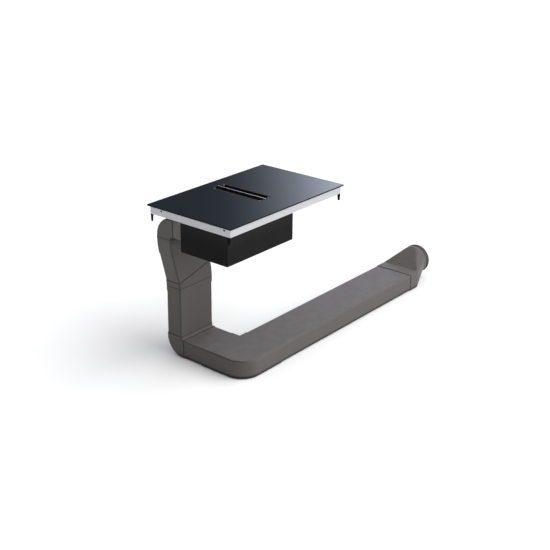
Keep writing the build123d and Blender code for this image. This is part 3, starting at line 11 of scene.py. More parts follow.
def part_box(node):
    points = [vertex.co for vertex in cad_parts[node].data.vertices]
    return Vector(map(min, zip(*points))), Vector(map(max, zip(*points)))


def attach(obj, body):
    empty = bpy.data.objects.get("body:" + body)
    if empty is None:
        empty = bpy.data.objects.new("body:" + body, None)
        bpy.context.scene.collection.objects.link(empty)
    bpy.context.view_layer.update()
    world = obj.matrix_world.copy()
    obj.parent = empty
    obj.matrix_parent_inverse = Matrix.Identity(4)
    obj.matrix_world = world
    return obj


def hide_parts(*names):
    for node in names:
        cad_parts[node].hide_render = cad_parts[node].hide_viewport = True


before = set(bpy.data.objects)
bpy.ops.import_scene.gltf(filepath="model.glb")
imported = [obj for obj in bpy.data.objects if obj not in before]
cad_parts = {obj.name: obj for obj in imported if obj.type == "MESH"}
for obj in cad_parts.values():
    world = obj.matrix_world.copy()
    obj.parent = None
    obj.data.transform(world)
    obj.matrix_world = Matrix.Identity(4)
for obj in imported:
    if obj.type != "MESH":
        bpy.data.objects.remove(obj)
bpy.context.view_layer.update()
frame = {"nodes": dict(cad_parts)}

bl_info = {
    "name": "Downdraft Vent Finishes",
    "version": (1, 0, 0),
    "blender": (4, 5, 0),
    "location": "View3D > Sidebar > Vent",
    "description": "Finishes the pieces of a downdraft vent hob and sets up its studio",
    "category": "Object",
}


def mm(value):
    """Millimetres as metres."""
    return value / 1000


# What the boxes of the CAD pieces don't tell: their sections, turns and holes.
DUCT_SECTION = (mm(222.0), mm(89.0), mm(8.0))         # width, height and corner radius
FITTING_SECTION = (mm(227.0), mm(94.0), mm(10.5))
ELBOW_SOCKET = mm(27.0)              # straight length at an elbow's end
ELBOW_TURN = math.radians(15.0)
ELBOW_RADIUS = mm(214.5)             # of an elbow's middle line
PILLAR_FROM_SLOT = mm(80.0)          # from the slot's middle line to the pillars beside it
PILLAR_RADIUS = mm(4.0)
SIDE_HOLE_DROP = mm(15.0)            # from the glass's underside to a side hole
SIDE_HOLE_END = mm(36.0)             # from the tray's front to a hole, and twice that at the back
SIDE_HOLE_RADIUS = mm(2.5)
BOARD_THICKNESS = mm(1.6)
COIL_EYE = mm(24.0)                  # radius of the hole in the middle of a coil

# Small fittings that only this script has. Profiles are (outward, along) in metres.
# A rib's profile is in shares of its width and its depth.
RIB_PROFILE = ((0.0, 0.0), (0.16, 0.10), (0.30, 0.55), (0.38, 0.88), (0.44, 1.0))
RIB_DEPTH = mm(1.3)
RIB_PITCH = mm(58.0)
RIBS_FROM_FRONT = mm(80.0)
RIBS_FROM_HOUSING = mm(50.0)
RIBS_FROM_RIGHT = mm(45.0)
SCREW_HEAD = ((mm(0.9), 0.0), (mm(4.0), 0.0), (mm(4.0), mm(0.6)), (mm(3.2), mm(1.6)),
              (mm(1.7), mm(1.9)), (mm(0.9), mm(0.7)))
LID_SCREW_SHARE = 0.7                # a lid screw's head against a pillar screw's
LID_SCREW_INSET = mm(8.0)
LID_SCREW_SPAN = mm(54.0)
SEAM_BEAD = ((mm(-0.6), mm(-1.8)), (mm(0.35), mm(-1.8)), (mm(0.75), mm(-0.8)),
             (mm(0.75), mm(0.8)), (mm(0.35), mm(1.8)), (mm(-0.6), mm(1.8)))
WIRE_SIDES = 8
WIRE_STEPS = 40                      # round each turn of a coil

# The studio, in metres.
FLOOR_RADIUS = 40.0
FLOOR_DROP = mm(0.4)                 # keeps the floor clear of the ducts that stand on it
FLOOR_CONTACT = mm(12.0)             # rays shorter than this pass through the floor
LAMP_PLACE = (2.0, -3.0, 4.5)        # only for show: a sun shines the same from anywhere
SENSOR_WIDTH = 36.0                  # of the camera, in millimetres


# ---------------------------------------------------------------- settings
def colour(name, description, default):
    """A colour setting."""
    return FloatVectorProperty(name=name, description=description, default=default, size=3,
                               min=0.0, max=1.0, subtype="COLOR")


def length(name, description, default):
    """A length setting, in metres."""
    return FloatProperty(name=name, description=description, default=default, min=0.0,
                         unit="LENGTH", precision=5)


def angle(name, description, degrees):
    """An angle setting."""
    return FloatProperty(name=name, description=description, default=math.radians(degrees),
                         subtype="ANGLE", unit="ROTATION")


def amount(name, description, default):
    """A plain number."""
    return FloatProperty(name=name, description=description, default=default)


def count(name, description, default, low, high):
    """A whole number."""
    return IntProperty(name=name, description=description, default=default, min=low, max=high)


class VentColours(bpy.types.PropertyGroup):
    """Colours of the vent's materials."""
    glass: colour("Glass", "Ceramic glass of the hob", (0.010, 0.012, 0.016))
    tray: colour("Tray steel", "Folded steel tray under the glass", (0.47, 0.47, 0.485))
    zinc: colour("Zinc", "Plated screws, shaft and flap pin", (0.56, 0.56, 0.55))
    bar: colour("Handle bar", "Bright strip of the bar in the slot", (0.86, 0.86, 0.87))
    bar_coat: colour("Bar coat", "Dull coat on the bar beside its strip", (0.012, 0.012, 0.013))
    pads: colour("Pads", "Bright round pads near the slot's corners", (0.60, 0.60, 0.60))
    frame: colour("Slot frame", "Black frame in the glass", (0.010, 0.010, 0.011))
    filter_rim: colour("Filter rim", "Steel frame round a filter", (0.10, 0.10, 0.102))
    mesh: colour("Filter mesh", "Expanded aluminium mesh", (0.62, 0.62, 0.62))
    housing: colour("Housing", "Satin black moulding of the fan housing", (0.0060, 0.0058, 0.0060))
    fan: colour("Fan", "Glass-filled grey moulding of the fan", (0.11, 0.11, 0.115))
    motor: colour("Motor", "Drawn steel can of the fan's motor", (0.38, 0.38, 0.39))
    duct: colour("Duct", "Warm grey moulding of the duct run", (0.064, 0.0565, 0.0548))
    rubber: colour("Rubber", "Lips, seals and foam", (0.016, 0.015, 0.015))
    copper: colour("Copper", "Enamelled litz wire", (0.52, 0.22, 0.09))
    former: colour("Former", "Pale moulding under the coils", (0.50, 0.49, 0.45))
    plate: colour("Coil plate", "Aluminium plate that carries the coils", (0.72, 0.73, 0.74))
    board: colour("Board", "Lacquered circuit board", (0.012, 0.070, 0.036))
    fins: colour("Heat sinks", "Extruded aluminium fins", (0.62, 0.63, 0.64))
    dust: colour("Dust", "Dust that settles on the ducts", (0.34, 0.325, 0.315))


class VentSizes(bpy.types.PropertyGroup):
    """Sizes of the grain, wear and small fittings."""
    grain: length("Moulding grain", "Size of one grain on the moulded plastic", 0.0007)
    wear_and_highlight: length("Edge wear", "Width of the polished line along an edge", 0.0012)
    bar_strip: length("Bar strip", "Width of the bright strip along the bar", 0.0040)
    mesh_pitch: length("Mesh pitch", "Distance between the openings of the filter mesh", 0.0042)
    lip_width: length("Joint lip", "Width of the rubber lip at each duct joint", 0.0035)
    ribs: count("Ribs", "Stiffening ribs in the tray's floor", 5, 1, 5)
    rib_width: length("Rib width", "Width of each stiffening rib", 0.014)
    nut_reach: length("Side nuts", "Radius of the black nuts in the tray's sides", 0.0048)
    wire: length("Coil wire", "Thickness of the litz wire", 0.0040)
    wire_turns: count("Coil turns", "Turns in each coil", 16, 4, 24)
    ring_lips: count("Ring lips", "Lips round the outlet's seal ring", 4, 1, 8)


class VentStudio(bpy.types.PropertyGroup):
    """Camera, lights, floor and surround."""
    camera_place: FloatVectorProperty(name="Camera", description="Where the camera stands", size=3,
                                      default=(-4.121, -3.161, 2.399), subtype="TRANSLATION")
    heading: angle("Heading", "Turn of the view from the back towards the right", 49.27)
    tilt: angle("Tilt", "How far the camera looks down", 18.46)
    lens: amount("Lens", "Focal length in millimetres", 71.07)
    shift_x: amount("Shift X", "Sideways shift of the lens", 0.0503)
    shift_y: amount("Shift Y", "Upward shift of the lens", -0.15)
    key_power: amount("Key", "Strength of the large soft light", 3.5)
    key_spread: angle("Key spread", "How wide the large light is, so how soft", 75)
    key_way: FloatVectorProperty(name="Key way", description="Which way the large light travels",
                                 size=3, default=(-0.50, 0.70, -0.60), subtype="DIRECTION")
    fill_light: amount("Fill", "Strength of the light from all round", 1.0)
    softbox_light: amount("Softbox", "Strength of the softbox that the glass mirrors", 6.3)
    softbox_limit: amount("Softbox limit", "Brightest that the softbox gets", 1.9)
    softbox: FloatVectorProperty(name="Softbox tint", description="Cool tint of the softbox",
                                 size=3, min=0.0, default=(0.86, 0.94, 1.12), subtype="COLOR")
    front: colour("Surround front", "Pale front and right of the studio", (0.80, 0.80, 0.81))
    left: colour("Surround left", "Darker left of the studio", (0.27, 0.27, 0.27))
    ahead: colour("Surround ahead", "Dark end that the glass mirrors", (0.045, 0.052, 0.066))
    overhead: colour("Overhead", "Pale reflector over the studio", (0.95, 0.95, 0.96))
    backdrop: colour("Backdrop", "What the camera sees behind the vent", (0.99, 0.99, 0.99))
    floor: colour("Floor", "Pale studio floor", (0.80, 0.80, 0.80))


# ---------------------------------------------------------------- finish nodes
class Socket:
    """An output of a node. Arithmetic on it adds Math nodes."""

    def __init__(self, nodes, output):
        self.nodes = nodes
        self.output = output

    def maths(self, operation, *values):
        """A Math node on some values, which may be sockets or numbers."""
        return self.nodes.node("ShaderNodeMath", {"operation": operation}, dict(enumerate(values)))

    def __add__(self, other):
        return self.maths("ADD", self, other)

    def __radd__(self, other):
        return self.maths("ADD", other, self)

    def __sub__(self, other):
        return self.maths("SUBTRACT", self, other)

    def __rsub__(self, other):
        return self.maths("SUBTRACT", other, self)

    def __mul__(self, other):
        return self.maths("MULTIPLY", self, other)

    def __rmul__(self, other):
        return self.maths("MULTIPLY", other, self)

    def __truediv__(self, other):
        return self.maths("DIVIDE", self, other)

    def __abs__(self):
        return self.maths("ABSOLUTE", self)

    def above(self, level):
        """1 where this is above a level, else 0."""
        return self.maths("GREATER_THAN", self, level)

    def rise(self, low, high):
        """0 below low, 1 above high, and smooth between them."""
        return self.nodes.node("ShaderNodeMapRange", {"interpolation_type": "SMOOTHSTEP"},
                               {0: self, 1: low, 2: high, 3: 0.0, 4: 1.0})

    def limited(self, most):
        """This, but never more than a limit."""
        return self.maths("MINIMUM", self, most)

    def or_else(self, other):
        """The larger of this and another."""
        return self.maths("MAXIMUM", self, other)

    def zigzag(self):
        """Back and forth between 0 and a half, once for each whole number."""
        return self.maths("PINGPONG", self, 0.5)


class Nodes:
    """A node tree that is written as expressions."""

    def __init__(self, tree):
        self.tree = tree
        self.tree.nodes.clear()

    def node(self, kind, settings=None, values=None, output=0):
        """Adds a node: its settings first, then the values or links of its sockets."""
        made = self.tree.nodes.new(kind)
        for name, value in (settings or {}).items():
            setattr(made, name, value)
        for name, value in (values or {}).items():
            if isinstance(value, Socket):
                self.tree.links.new(value.output, made.inputs[name])
            else:
                made.inputs[name].default_value = value
        return Socket(self, made.outputs[output]) if len(made.outputs) else None

    def part(self, vector, axis):
        """One coordinate of a vector."""
        return self.node("ShaderNodeSeparateXYZ", None, {0: vector}, axis)

    def between(self, factor, low, high):
        """A colour between two colours."""
        return self.node("ShaderNodeMix", {"data_type": "RGBA"},
                         {0: factor, 6: as_colour(low), 7: as_colour(high)}, 2)


class Finish(Nodes):
    """One material, with its surface shader and the nodes that feed it."""

    def __init__(self, name, slot):
        self.slot = slot
        self.material = bpy.data.materials.new(name)
        self.material.use_nodes = True
        super().__init__(self.material.node_tree)

    def place(self, axis=None):
        """The point on the piece, or one of its coordinates, in metres."""
        point = self.node("ShaderNodeTexCoord", output="Object")
        return point if axis is None else self.part(point, axis)

    def facing(self, axis):
        """How far the surface faces along an axis, from -1 to 1."""
        return self.part(self.node("ShaderNodeNewGeometry", output="Normal"), axis)

    def scaled(self, x, y, z):
        """The point on the piece, with each axis multiplied."""
        return self.node("ShaderNodeVectorMath", {"operation": "MULTIPLY"},
                         {0: self.place(), 1: (x, y, z)})

    def noise(self, size, detail=3.0, point=None, roughness=0.5):
        """Soft mottling from 0 to 1, whose patches are about that size in metres."""
        values = {"Vector": point or self.place(), "Scale": 1.0 / size, "Detail": detail,
                  "Roughness": roughness}
        return self.node("ShaderNodeTexNoise", None, values)

    def streaks(self, along, across, axis):
        """Brushing lines along one axis."""
        stretch = [1.0 / across] * 3
        stretch["XYZ".index(axis)] = 1.0 / along
        return self.noise(1.0, 2.0, self.scaled(*stretch))

    def edges(self, width):
        """1 where the surface turns sharply, 0 on its faces."""
        rounded = self.node("ShaderNodeBevel", {"samples": 4}, {"Radius": width})
        normal = self.node("ShaderNodeNewGeometry", output="Normal")
        match = self.node("ShaderNodeVectorMath", {"operation": "DOT_PRODUCT"},
                          {0: rounded, 1: normal}, 1)
        return (1.0 - match).rise(0.02, 0.25)

    def bump(self, height, depth, strength=1.0):
        """A normal from a height of 0 to 1, whose full height is depth in metres."""
        return self.node("ShaderNodeBump", None,
                         {"Strength": strength, "Distance": depth, "Height": height})

    def shader(self, **values):
        """A surface shader; values are named after its sockets."""
        sockets = {name.replace("_", " "): value for name, value in values.items()}
        return self.node("ShaderNodeBsdfPrincipled", None, sockets)

    def output(self, shader):
        """Sends a shader to the material's output."""
        self.node("ShaderNodeOutputMaterial", None, {"Surface": shader})
        return self

    def surface(self, **values):
        """A surface shader that is the whole finish."""
        return self.output(self.shader(**values))


def as_colour(value):
    """A colour socket as it is, or three numbers with full opacity."""
    return value if isinstance(value, Socket) else (*tuple(value)[:3], 1.0)


def tinted(value, factor):
    """A colour made lighter or darker."""
    return tuple(min(1.0, channel * factor) for channel in tuple(value)[:3])


def dress(finish, *nodes):
    """Gives CAD nodes a finish."""
    for name in nodes:
        piece = frame["nodes"][name]
        if not piece.material_slots:
            piece.data.materials.append(finish.material)
        for held in piece.material_slots:
            held.material = finish.material


# ---------------------------------------------------------------- mesh tools
def new_piece(name, mesh, finish, body="root"):
    """A new piece from a bmesh, riding on a body."""
    data = bpy.data.meshes.new(name)
    bmesh.ops.recalc_face_normals(mesh, faces=mesh.faces)
    mesh.to_mesh(data)
    mesh.free()
    data.materials.append(finish.material)
    piece = bpy.data.objects.new(name, data)
    bpy.context.scene.collection.objects.link(piece)
    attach(piece, body)
    return piece


def smooth_by_angle(piece, degrees=35.0):
    """Smooth shading, with edges over an angle kept sharp."""
    piece.data.shade_smooth()
    piece.data.set_sharp_from_angle(angle=math.radians(degrees))


def round_outline(width, height, corner, steps=6):
    """Points and outward directions round a rounded rectangle, anticlockwise."""
    points = []
    for number, (side_x, side_y) in enumerate(((1, 1), (-1, 1), (-1, -1), (1, -1))):
        middle = Vector((side_x * (width / 2 - corner), side_y * (height / 2 - corner)))
        for step in range(steps + 1):
            turn = math.radians(90 * number + 90 * step / steps)
            way = Vector((math.cos(turn), math.sin(turn)))
            points.append((middle + way * corner, way))
    return points


def skin(mesh, rows):
    """Faces from each row of points to the next one. Each row is a closed loop."""
    for row, following in zip(rows, rows[1:]):
        for index, point in enumerate(row):
            other = (index + 1) % len(row)
            mesh.faces.new((point, row[other], following[other], following[index]))


def ring_of(mesh, place, outline, profile):
    """A closed ring round an outline, from a profile's (outward, along) points."""
    rows = [[mesh.verts.new(place @ Vector((*(point + way * out), along)))
             for out, along in profile] for point, way in outline]
    skin(mesh, [*rows, rows[0]])


def lathe(mesh, place, profile, sides=96):
    """A closed ring turned about the place's third axis, from (radius, along) points."""
    turns = [math.tau * side / sides for side in range(sides)]
    outline = [(Vector((0, 0)), Vector((math.cos(turn), math.sin(turn)))) for turn in turns]
    ring_of(mesh, place, outline, profile)


def standing(origin, across, along):
    """A placing matrix whose first axis is across and third axis is along."""
    third = Vector(along).normalized()
    first = Vector(across).normalized()
    second = third.cross(first)
    turn = Matrix((first, second, third)).transposed().to_4x4()
    return Matrix.Translation(origin) @ turn


# ---------------------------------------------------------------- finishes
class Moulding(Finish):
    """Moulded plastic: eroded grain, faint flow marks and edges made lighter, partly worn and
    partly as painted highlight, built up tone by tone.
    """

    def __init__(self, name, slot, base, sizes, wear_and_highlight=None):
        super().__init__(name, slot)
        self.base = base
        self.grain = sizes.grain
        self.flow = self.noise(0.16, 3.0)
        self.speck = self.noise(0.004, 2.0)
        self.edge = self.edges(wear_and_highlight or sizes.wear_and_highlight)
        self.shade = self.between(self.flow * 0.7 + self.speck * 0.3, tinted(base, 0.90),
                                  tinted(base, 1.10))

    def cover(self, share, colour_there):
        """Turns a share of the surface towards a colour."""
        self.shade = self.between(share, self.shade, colour_there)

    def tone(self, share, factor):
        """Turns a share of the surface towards the base colour made lighter or darker."""
        self.cover(share, tinted(self.base, factor))

    def moulded_surface(self, rough, gloss):
        """The surface shader, with fine eroded grain on a coarser one."""
        roughness = rough + self.flow * 0.08 + self.speck * 0.06 - self.edge * 0.10
        relief = self.noise(self.grain, 2.0) * 0.8 + self.noise(self.grain * 4, 2.0) * 0.2
        return self.surface(Base_Color=self.shade, Roughness=roughness, Specular_IOR_Level=gloss,
                            Normal=self.bump(relief, self.grain * 0.10, 0.7))


def moulded(name, slot, base, sizes, wear_and_highlight=None, rough=0.42, lift=1.35, gloss=0.5, pale_tone=None):
    """Plain moulded plastic. Where its two heights are given, painted light grows as a pale band
    between them.
    """
    finish = Moulding(name, slot, base, sizes, wear_and_highlight)
    if pale_tone:
        # Painted light: the colour turns paler up to the upper height, standing in for light on the
        # piece's top.
        finish.tone(finish.place("Z").rise(*pale_tone) * (0.75 + finish.flow * 0.5) * 0.5, 3.2)
    # Painted highlight, partly worn plastic: the edges are turned lighter by the lift.
    finish.tone(finish.edge * 0.55, lift)
    return finish.moulded_surface(rough, gloss)


def duct_moulding(across, colours, sizes):
    """Moulded duct whose section is wide along one axis. Its rounded corners carry painted shade,
    its sides a painted contact shadow where it stands on the floor, and a little dust lies on top."""
    finish = Moulding("duct_moulding_" + across.lower(), "duct_plastic", colours.duct, sizes)
    # Painted highlight, partly worn plastic: the edges turn a quarter lighter.
    finish.tone(finish.edge * 0.55, 1.25)
    # Painted shade: the rounded corners between the faces are darkened to half the base colour.
    side = finish.facing(across)
    side = side * side
    finish.tone((4.0 * side * (1.0 - side)).rise(0.35, 0.95), 0.50)
    # Painted contact shadow: the upright sides are darkened almost to black below 15 to 20 mm,
    # where the duct stands on the floor.
    height = finish.place("Z") + finish.noise(0.02, 2.0) * mm(2)
    upright = 1.0 - abs(finish.facing("Z")).rise(0.80, 0.95)
    finish.tone((1.0 - height.rise(mm(15), mm(20))) * upright, 0.10)
    settled = finish.noise(0.05, 4.0).rise(0.3, 0.75) * 0.4 + 0.6
    finish.cover(finish.facing("Z").rise(0.6, 1.0) * settled * 0.14, colours.dust)
    return finish.moulded_surface(0.42, 0.35)


def rolled(name, slot, base, axis, rough, metallic, wear_and_highlight, depth):
    """A finish and the shader of rolled sheet: fine lines along the rolling direction, soft
    handling marks and edges made lighter, partly worn bright and partly painted highlight."""
    finish = Finish(name, slot)
    lines, broad = finish.streaks(0.09, 0.0006, axis), finish.streaks(0.30, 0.006, axis)
    marks = finish.noise(0.07, 4.0)
    edge = finish.edges(wear_and_highlight)
    shade = finish.between(lines * 0.5 + broad * 0.3 + marks * 0.2, tinted(base, 0.86),
                           tinted(base, 1.10))
    # Painted highlight, partly worn metal: the edges turn a quarter lighter.
    shade = finish.between(edge * 0.5, shade, tinted(base, 1.25))
    roughness = rough + lines * 0.10 + marks.rise(0.45, 0.8) * 0.10 - edge * 0.08
    return finish, finish.shader(Base_Color=shade, Roughness=roughness, Metallic=metallic,
                                 Normal=finish.bump(lines, depth, 0.6))


def sheet_metal(name, slot, base, axis="Y", rough=0.34, metallic=1.0, depth=mm(0.03)):
    """Bare rolled or turned metal, brushed along an axis."""
    finish, metal = rolled(name, slot, base, axis, rough, metallic, mm(0.8), depth)
    return finish.output(metal)


def coated_bar(base, coat, middle, strip):
    """A brushed bar under a dull coat that leaves a bright strip along its top."""
    finish, metal = rolled("bar_brushed", "bar_aluminium", base, "Y", 0.30, 1.0, mm(0.3), mm(0.03))
    marks = finish.noise(0.07, 4.0)
    dull = finish.shader(Base_Color=finish.between(marks, tinted(coat, 0.8), tinted(coat, 1.3)),
                         Roughness=0.60, Specular_IOR_Level=0.08)
    inside = 1.0 - abs(finish.place("X") - middle).rise(strip / 2 - mm(0.2), strip / 2)
    bright = finish.facing("Z").rise(0.45, 0.85) * inside
    return finish.output(finish.node("ShaderNodeMixShader", None, {0: bright, 1: dull, 2: metal}))


def rubber(name, slot, base, rough=0.62, pore=mm(0.9)):
    """Matt rubber or foam with fine pores and soft pale patches where it blooms."""
    finish = Finish(name, slot)
    pores = finish.noise(pore, 2.0)
    pale_tone = finish.noise(0.03, 4.0)
    shade = finish.between(pale_tone.rise(0.35, 0.75), base, tinted(base, 1.7))
    return finish.surface(Base_Color=shade, Roughness=rough + pale_tone * 0.15 + pores * 0.08,
                          Normal=finish.bump(pores, pore * 0.15, 0.8))


def ceramic_glass(base):
    """Black ceramic glass: a deep polish with faint wiped streaks, and a dull ground edge."""
    finish = Finish("ceramic_glass", "black_glass")
    wiped = finish.noise(1.0, 3.0, finish.scaled(2.2, 9.0, 3.0))
    haze = finish.noise(0.22, 4.0).rise(0.45, 0.8)
    edge = finish.edges(mm(0.9))
    shade = finish.between(finish.noise(mm(0.9), 1.0), tinted(base, 0.8), tinted(base, 1.25))
    roughness = 0.055 + wiped * 0.03 + haze * 0.035 + edge * 0.12
    polished = finish.shader(Base_Color=shade, Roughness=roughness, IOR=1.52,
                             Normal=finish.bump(finish.noise(0.25, 1.0), mm(0.02), 0.25))
    grind = finish.noise(mm(1.2), 2.0)
    ground = finish.shader(Base_Color=finish.between(grind, tinted(base, 0.25), tinted(base, 0.5)),
                           Roughness=0.5 + grind * 0.2, Specular_IOR_Level=0.08,
                           Normal=finish.bump(grind, mm(0.05), 0.5))
    flat = abs(finish.facing("Z")).rise(0.80, 0.98)
    return finish.output(finish.node("ShaderNodeMixShader", None,
                                     {0: flat, 1: ground, 2: polished}))


def mesh_metal(base, pitch):
    """Expanded aluminium mesh: slanting slits between bright strands."""
    finish = Finish("filter_mesh_metal", "mesh_aluminium")
    across = finish.place("Y") / pitch
    up = finish.place("Z") / (pitch * 0.55)
    rising = (across + up).zigzag().rise(0.30, 0.36)
    falling = (across - up).zigzag().rise(0.30, 0.36)
    strand = rising.or_else(falling)
    speck = finish.noise(0.002, 3.0)
    shade = finish.between(speck, tinted(base, 0.75), tinted(base, 1.15))
    return finish.surface(Base_Color=shade, Metallic=1.0, Roughness=0.28 + speck * 0.15,
                          Alpha=strand, Normal=finish.bump(strand, mm(0.3), 0.8))


def wound_copper(base, wire):
    """Enamelled litz: fine twisted strands round each wire."""
    finish = Finish("litz_copper", "copper_wire")
    strands = finish.noise(wire * 0.12, 2.0, roughness=0.6)
    heat = finish.noise(0.03, 3.0)
    shade = finish.between(strands * 0.6 + heat * 0.4, tinted(base, 0.55), tinted(base, 1.35))
    return finish.surface(Base_Color=shade, Metallic=0.85, Roughness=0.30 + heat * 0.15,
                          Coat_Weight=0.3, Coat_Roughness=0.2,
                          Normal=finish.bump(strands, wire * 0.06, 0.8))


def circuit(base, board_top, tall):
    """A lacquered board with tracks and pads; what stands on it is dark sleeve and bright can."""
    finish = Finish("circuit_board_finish", "circuit_board")
    cells = finish.node("ShaderNodeTexBrick", {"offset": 0.5, "squash": 1.0},
                        {"Vector": finish.place(), "Scale": 60.0, "Mortar Size": 0.035,
                         "Row Height": 0.35}, "Fac")
    pads = finish.node("ShaderNodeTexVoronoi", {"feature": "F1"},
                       {"Vector": finish.place(), "Scale": 130.0, "Randomness": 0.55}, "Distance")
    tracks = finish.between(cells.rise(0.3, 0.6), tinted(base, 1.9), base)
    tin, can = (0.55, 0.50, 0.38), (0.45, 0.45, 0.46)
    chip, sleeve = (0.02, 0.018, 0.016), (0.012, 0.014, 0.022)
    lacquer = finish.between(pads.rise(0.16, 0.20), tin, tracks)
    height = finish.place("Z")
    raised = height.above(board_top + mm(0.3))
    parts = finish.between(height.above(tall - mm(0.5)), chip, can)
    parts = finish.between(raised * finish.facing("Z").above(0.7), sleeve, parts)
    shade = finish.between(raised, lacquer, parts)
    relief = cells * 0.5 + pads.rise(0.1, 0.3) * 0.5
    return finish.surface(Base_Color=shade, Roughness=0.32 + finish.noise(0.01, 3.0) * 0.2,
                          Normal=finish.bump(relief, mm(0.08), 0.6))


# ---------------------------------------------------------------- operators
class GlassOperator(bpy.types.Operator):
    """Polish the ceramic glass and its foam tape"""
    bl_idname = "vent.glass"
    bl_label = "Glass and tape"

    def execute(self, context):
        colours = context.scene.vent_colours
        dress(ceramic_glass(colours.glass), "glass_top")
        foam = rubber("foam_tape", "black_foam", tinted(colours.rubber, 0.9), 0.8, mm(1.2))
        dress(foam, "edge_seal")
        return {"FINISHED"}


class TrayOperator(bpy.types.Operator):
    """Give the tray, its clips and its screws their metal, and press the tray's ribs"""
    bl_idname = "vent.tray"
    bl_label = "Tray, clips and screws"

    def execute(self, context):
        colours = context.scene.vent_colours
        sizes = context.scene.vent_sizes
        sheet = sheet_metal("tray_sheet", "tray_steel", colours.tray, rough=0.40, metallic=0.75)
        dress(sheet, "steel_tray")
        clip = moulded("clip_black", "black_steel", tinted(colours.frame, 0.12), sizes, mm(0.4),
                       rough=0.5, lift=2.0, gloss=0.05)
        dress(clip, "hold_down_clips")
        zinc = sheet_metal("zinc_screws", "screw_steel", colours.zinc, "Z", rough=0.30)
        dress(zinc, "housing_screws", "motor_shaft", "flap_pin")
        self.pressed_ribs(sizes, sheet)
        self.underside_screws(zinc)
        return {"FINISHED"}

    def pressed_ribs(self, sizes, sheet):
        """The stiffening ribs pressed in the free half of the tray's floor."""
        low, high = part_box("steel_tray")
        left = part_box("housing_pan")[1].x + RIBS_FROM_HOUSING
        right = high.x - RIBS_FROM_RIGHT
        wide = sizes.rib_width
        outline = round_outline(right - left, wide, wide / 2 - mm(0.01), 8)
        mesh = bmesh.new()
        for number in range(sizes.ribs):
            along = low.y + RIBS_FROM_FRONT + number * RIB_PITCH
            place = Matrix.Translation(((left + right) / 2, along, low.z))
            rows = [[mesh.verts.new(place @ Vector((*(point - way * inset * wide),
                                                    -drop * RIB_DEPTH)))
                     for point, way in outline] for inset, drop in RIB_PROFILE]
            skin(mesh, rows)
            mesh.faces.new(rows[-1])
        smooth_by_angle(new_piece("tray_pressed_ribs", mesh, sheet), 50)

    def underside_screws(self, zinc):
        """The heads under the tray's pillars and on the connection box's lid."""
        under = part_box("steel_tray")[0].z
        pillar_low, pillar_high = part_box("plate_pillars")
        box_low, box_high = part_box("terminal_box")
        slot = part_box("inlet_frame")
        beside = (slot[0].x + slot[1].x) / 2 + PILLAR_FROM_SLOT
        heads = [((x, y, under), 1.0) for x in (beside, pillar_high.x - PILLAR_RADIUS)
                 for y in (pillar_low.y + PILLAR_RADIUS, pillar_high.y - PILLAR_RADIUS)]
        first = box_low.y + LID_SCREW_INSET
        heads += [((x, y, box_low.z), LID_SCREW_SHARE)
                  for x in (box_low.x + LID_SCREW_INSET, box_high.x - LID_SCREW_INSET)
                  for y in (first, first + LID_SCREW_SPAN)]
        mesh = bmesh.new()
        for place, size in heads:
            profile = [(reach * size, along * size) for reach, along in SCREW_HEAD]
            lathe(mesh, standing(place, (1, 0, 0), (0, 0, -1)), profile, 24)
        smooth_by_angle(new_piece("underside_screws", mesh, zinc), 40)


class SideNutOperator(bpy.types.Operator):
    """Press a black threaded nut into each hole near the top of the tray's sides; its wide black
    flange also stands in for the painted shade of the hole
    """
    bl_idname = "vent.side_nuts"
    bl_label = "Side nuts"

    def execute(self, context):
        sizes = context.scene.vent_sizes
        black = moulded("nut_black_and_hole_shade", "black_steel", tinted(context.scene.vent_colours.frame, 0.15),
                        sizes, mm(0.3), rough=0.5, lift=1.5, gloss=0.05)
        low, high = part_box("steel_tray")
        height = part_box("glass_top")[0].z - SIDE_HOLE_DROP
        # Painted shade: the black flange is made wide, so that it darkens each hole as deeply as
        # its shade would.
        reach = sizes.nut_reach
        bore = mm(1.4)
        profile = [(bore, mm(0.9)), (reach * 0.9, mm(0.8)), (reach * 1.05, 0.0),
                   (SIDE_HOLE_RADIUS, 0.0), (SIDE_HOLE_RADIUS, mm(-6)), (mm(1.0), mm(-6.5)),
                   (bore, mm(-5))]
        mesh = bmesh.new()
        for edge, way in ((low.x, -1), (high.x, 1)):
            for along in (low.y + SIDE_HOLE_END, high.y - 2 * SIDE_HOLE_END):
                lathe(mesh, standing((edge, along, height), (0, 1, 0), (way, 0, 0)), profile, 32)
        smooth_by_angle(new_piece("tray_side_nuts", mesh, black), 40)
        return {"FINISHED"}


class InletOperator(bpy.types.Operator):
    """Finish the slot's frame, its pads and the funnel under it"""
    bl_idname = "vent.inlet"
    bl_label = "Slot frame, pads and funnel"

    def execute(self, context):
        colours = context.scene.vent_colours
        sizes = context.scene.vent_sizes
        satin = moulded("slot_frame_satin", "frame_plastic", tinted(colours.frame, 0.6), sizes,
                        mm(0.4), rough=0.36, lift=2.5, gloss=0.25)
        dress(satin, "inlet_frame")
        funnel = moulded("funnel_moulding", "black_plastic", colours.frame, sizes,
                         rough=0.50, lift=2.0, gloss=0.20)
        dress(funnel, "inlet_funnel")
        bright = sheet_metal("pad_bright", "bright_pads", colours.pads, "X", depth=mm(0.005))
        dress(bright, "rest_pads")
        return {"FINISHED"}


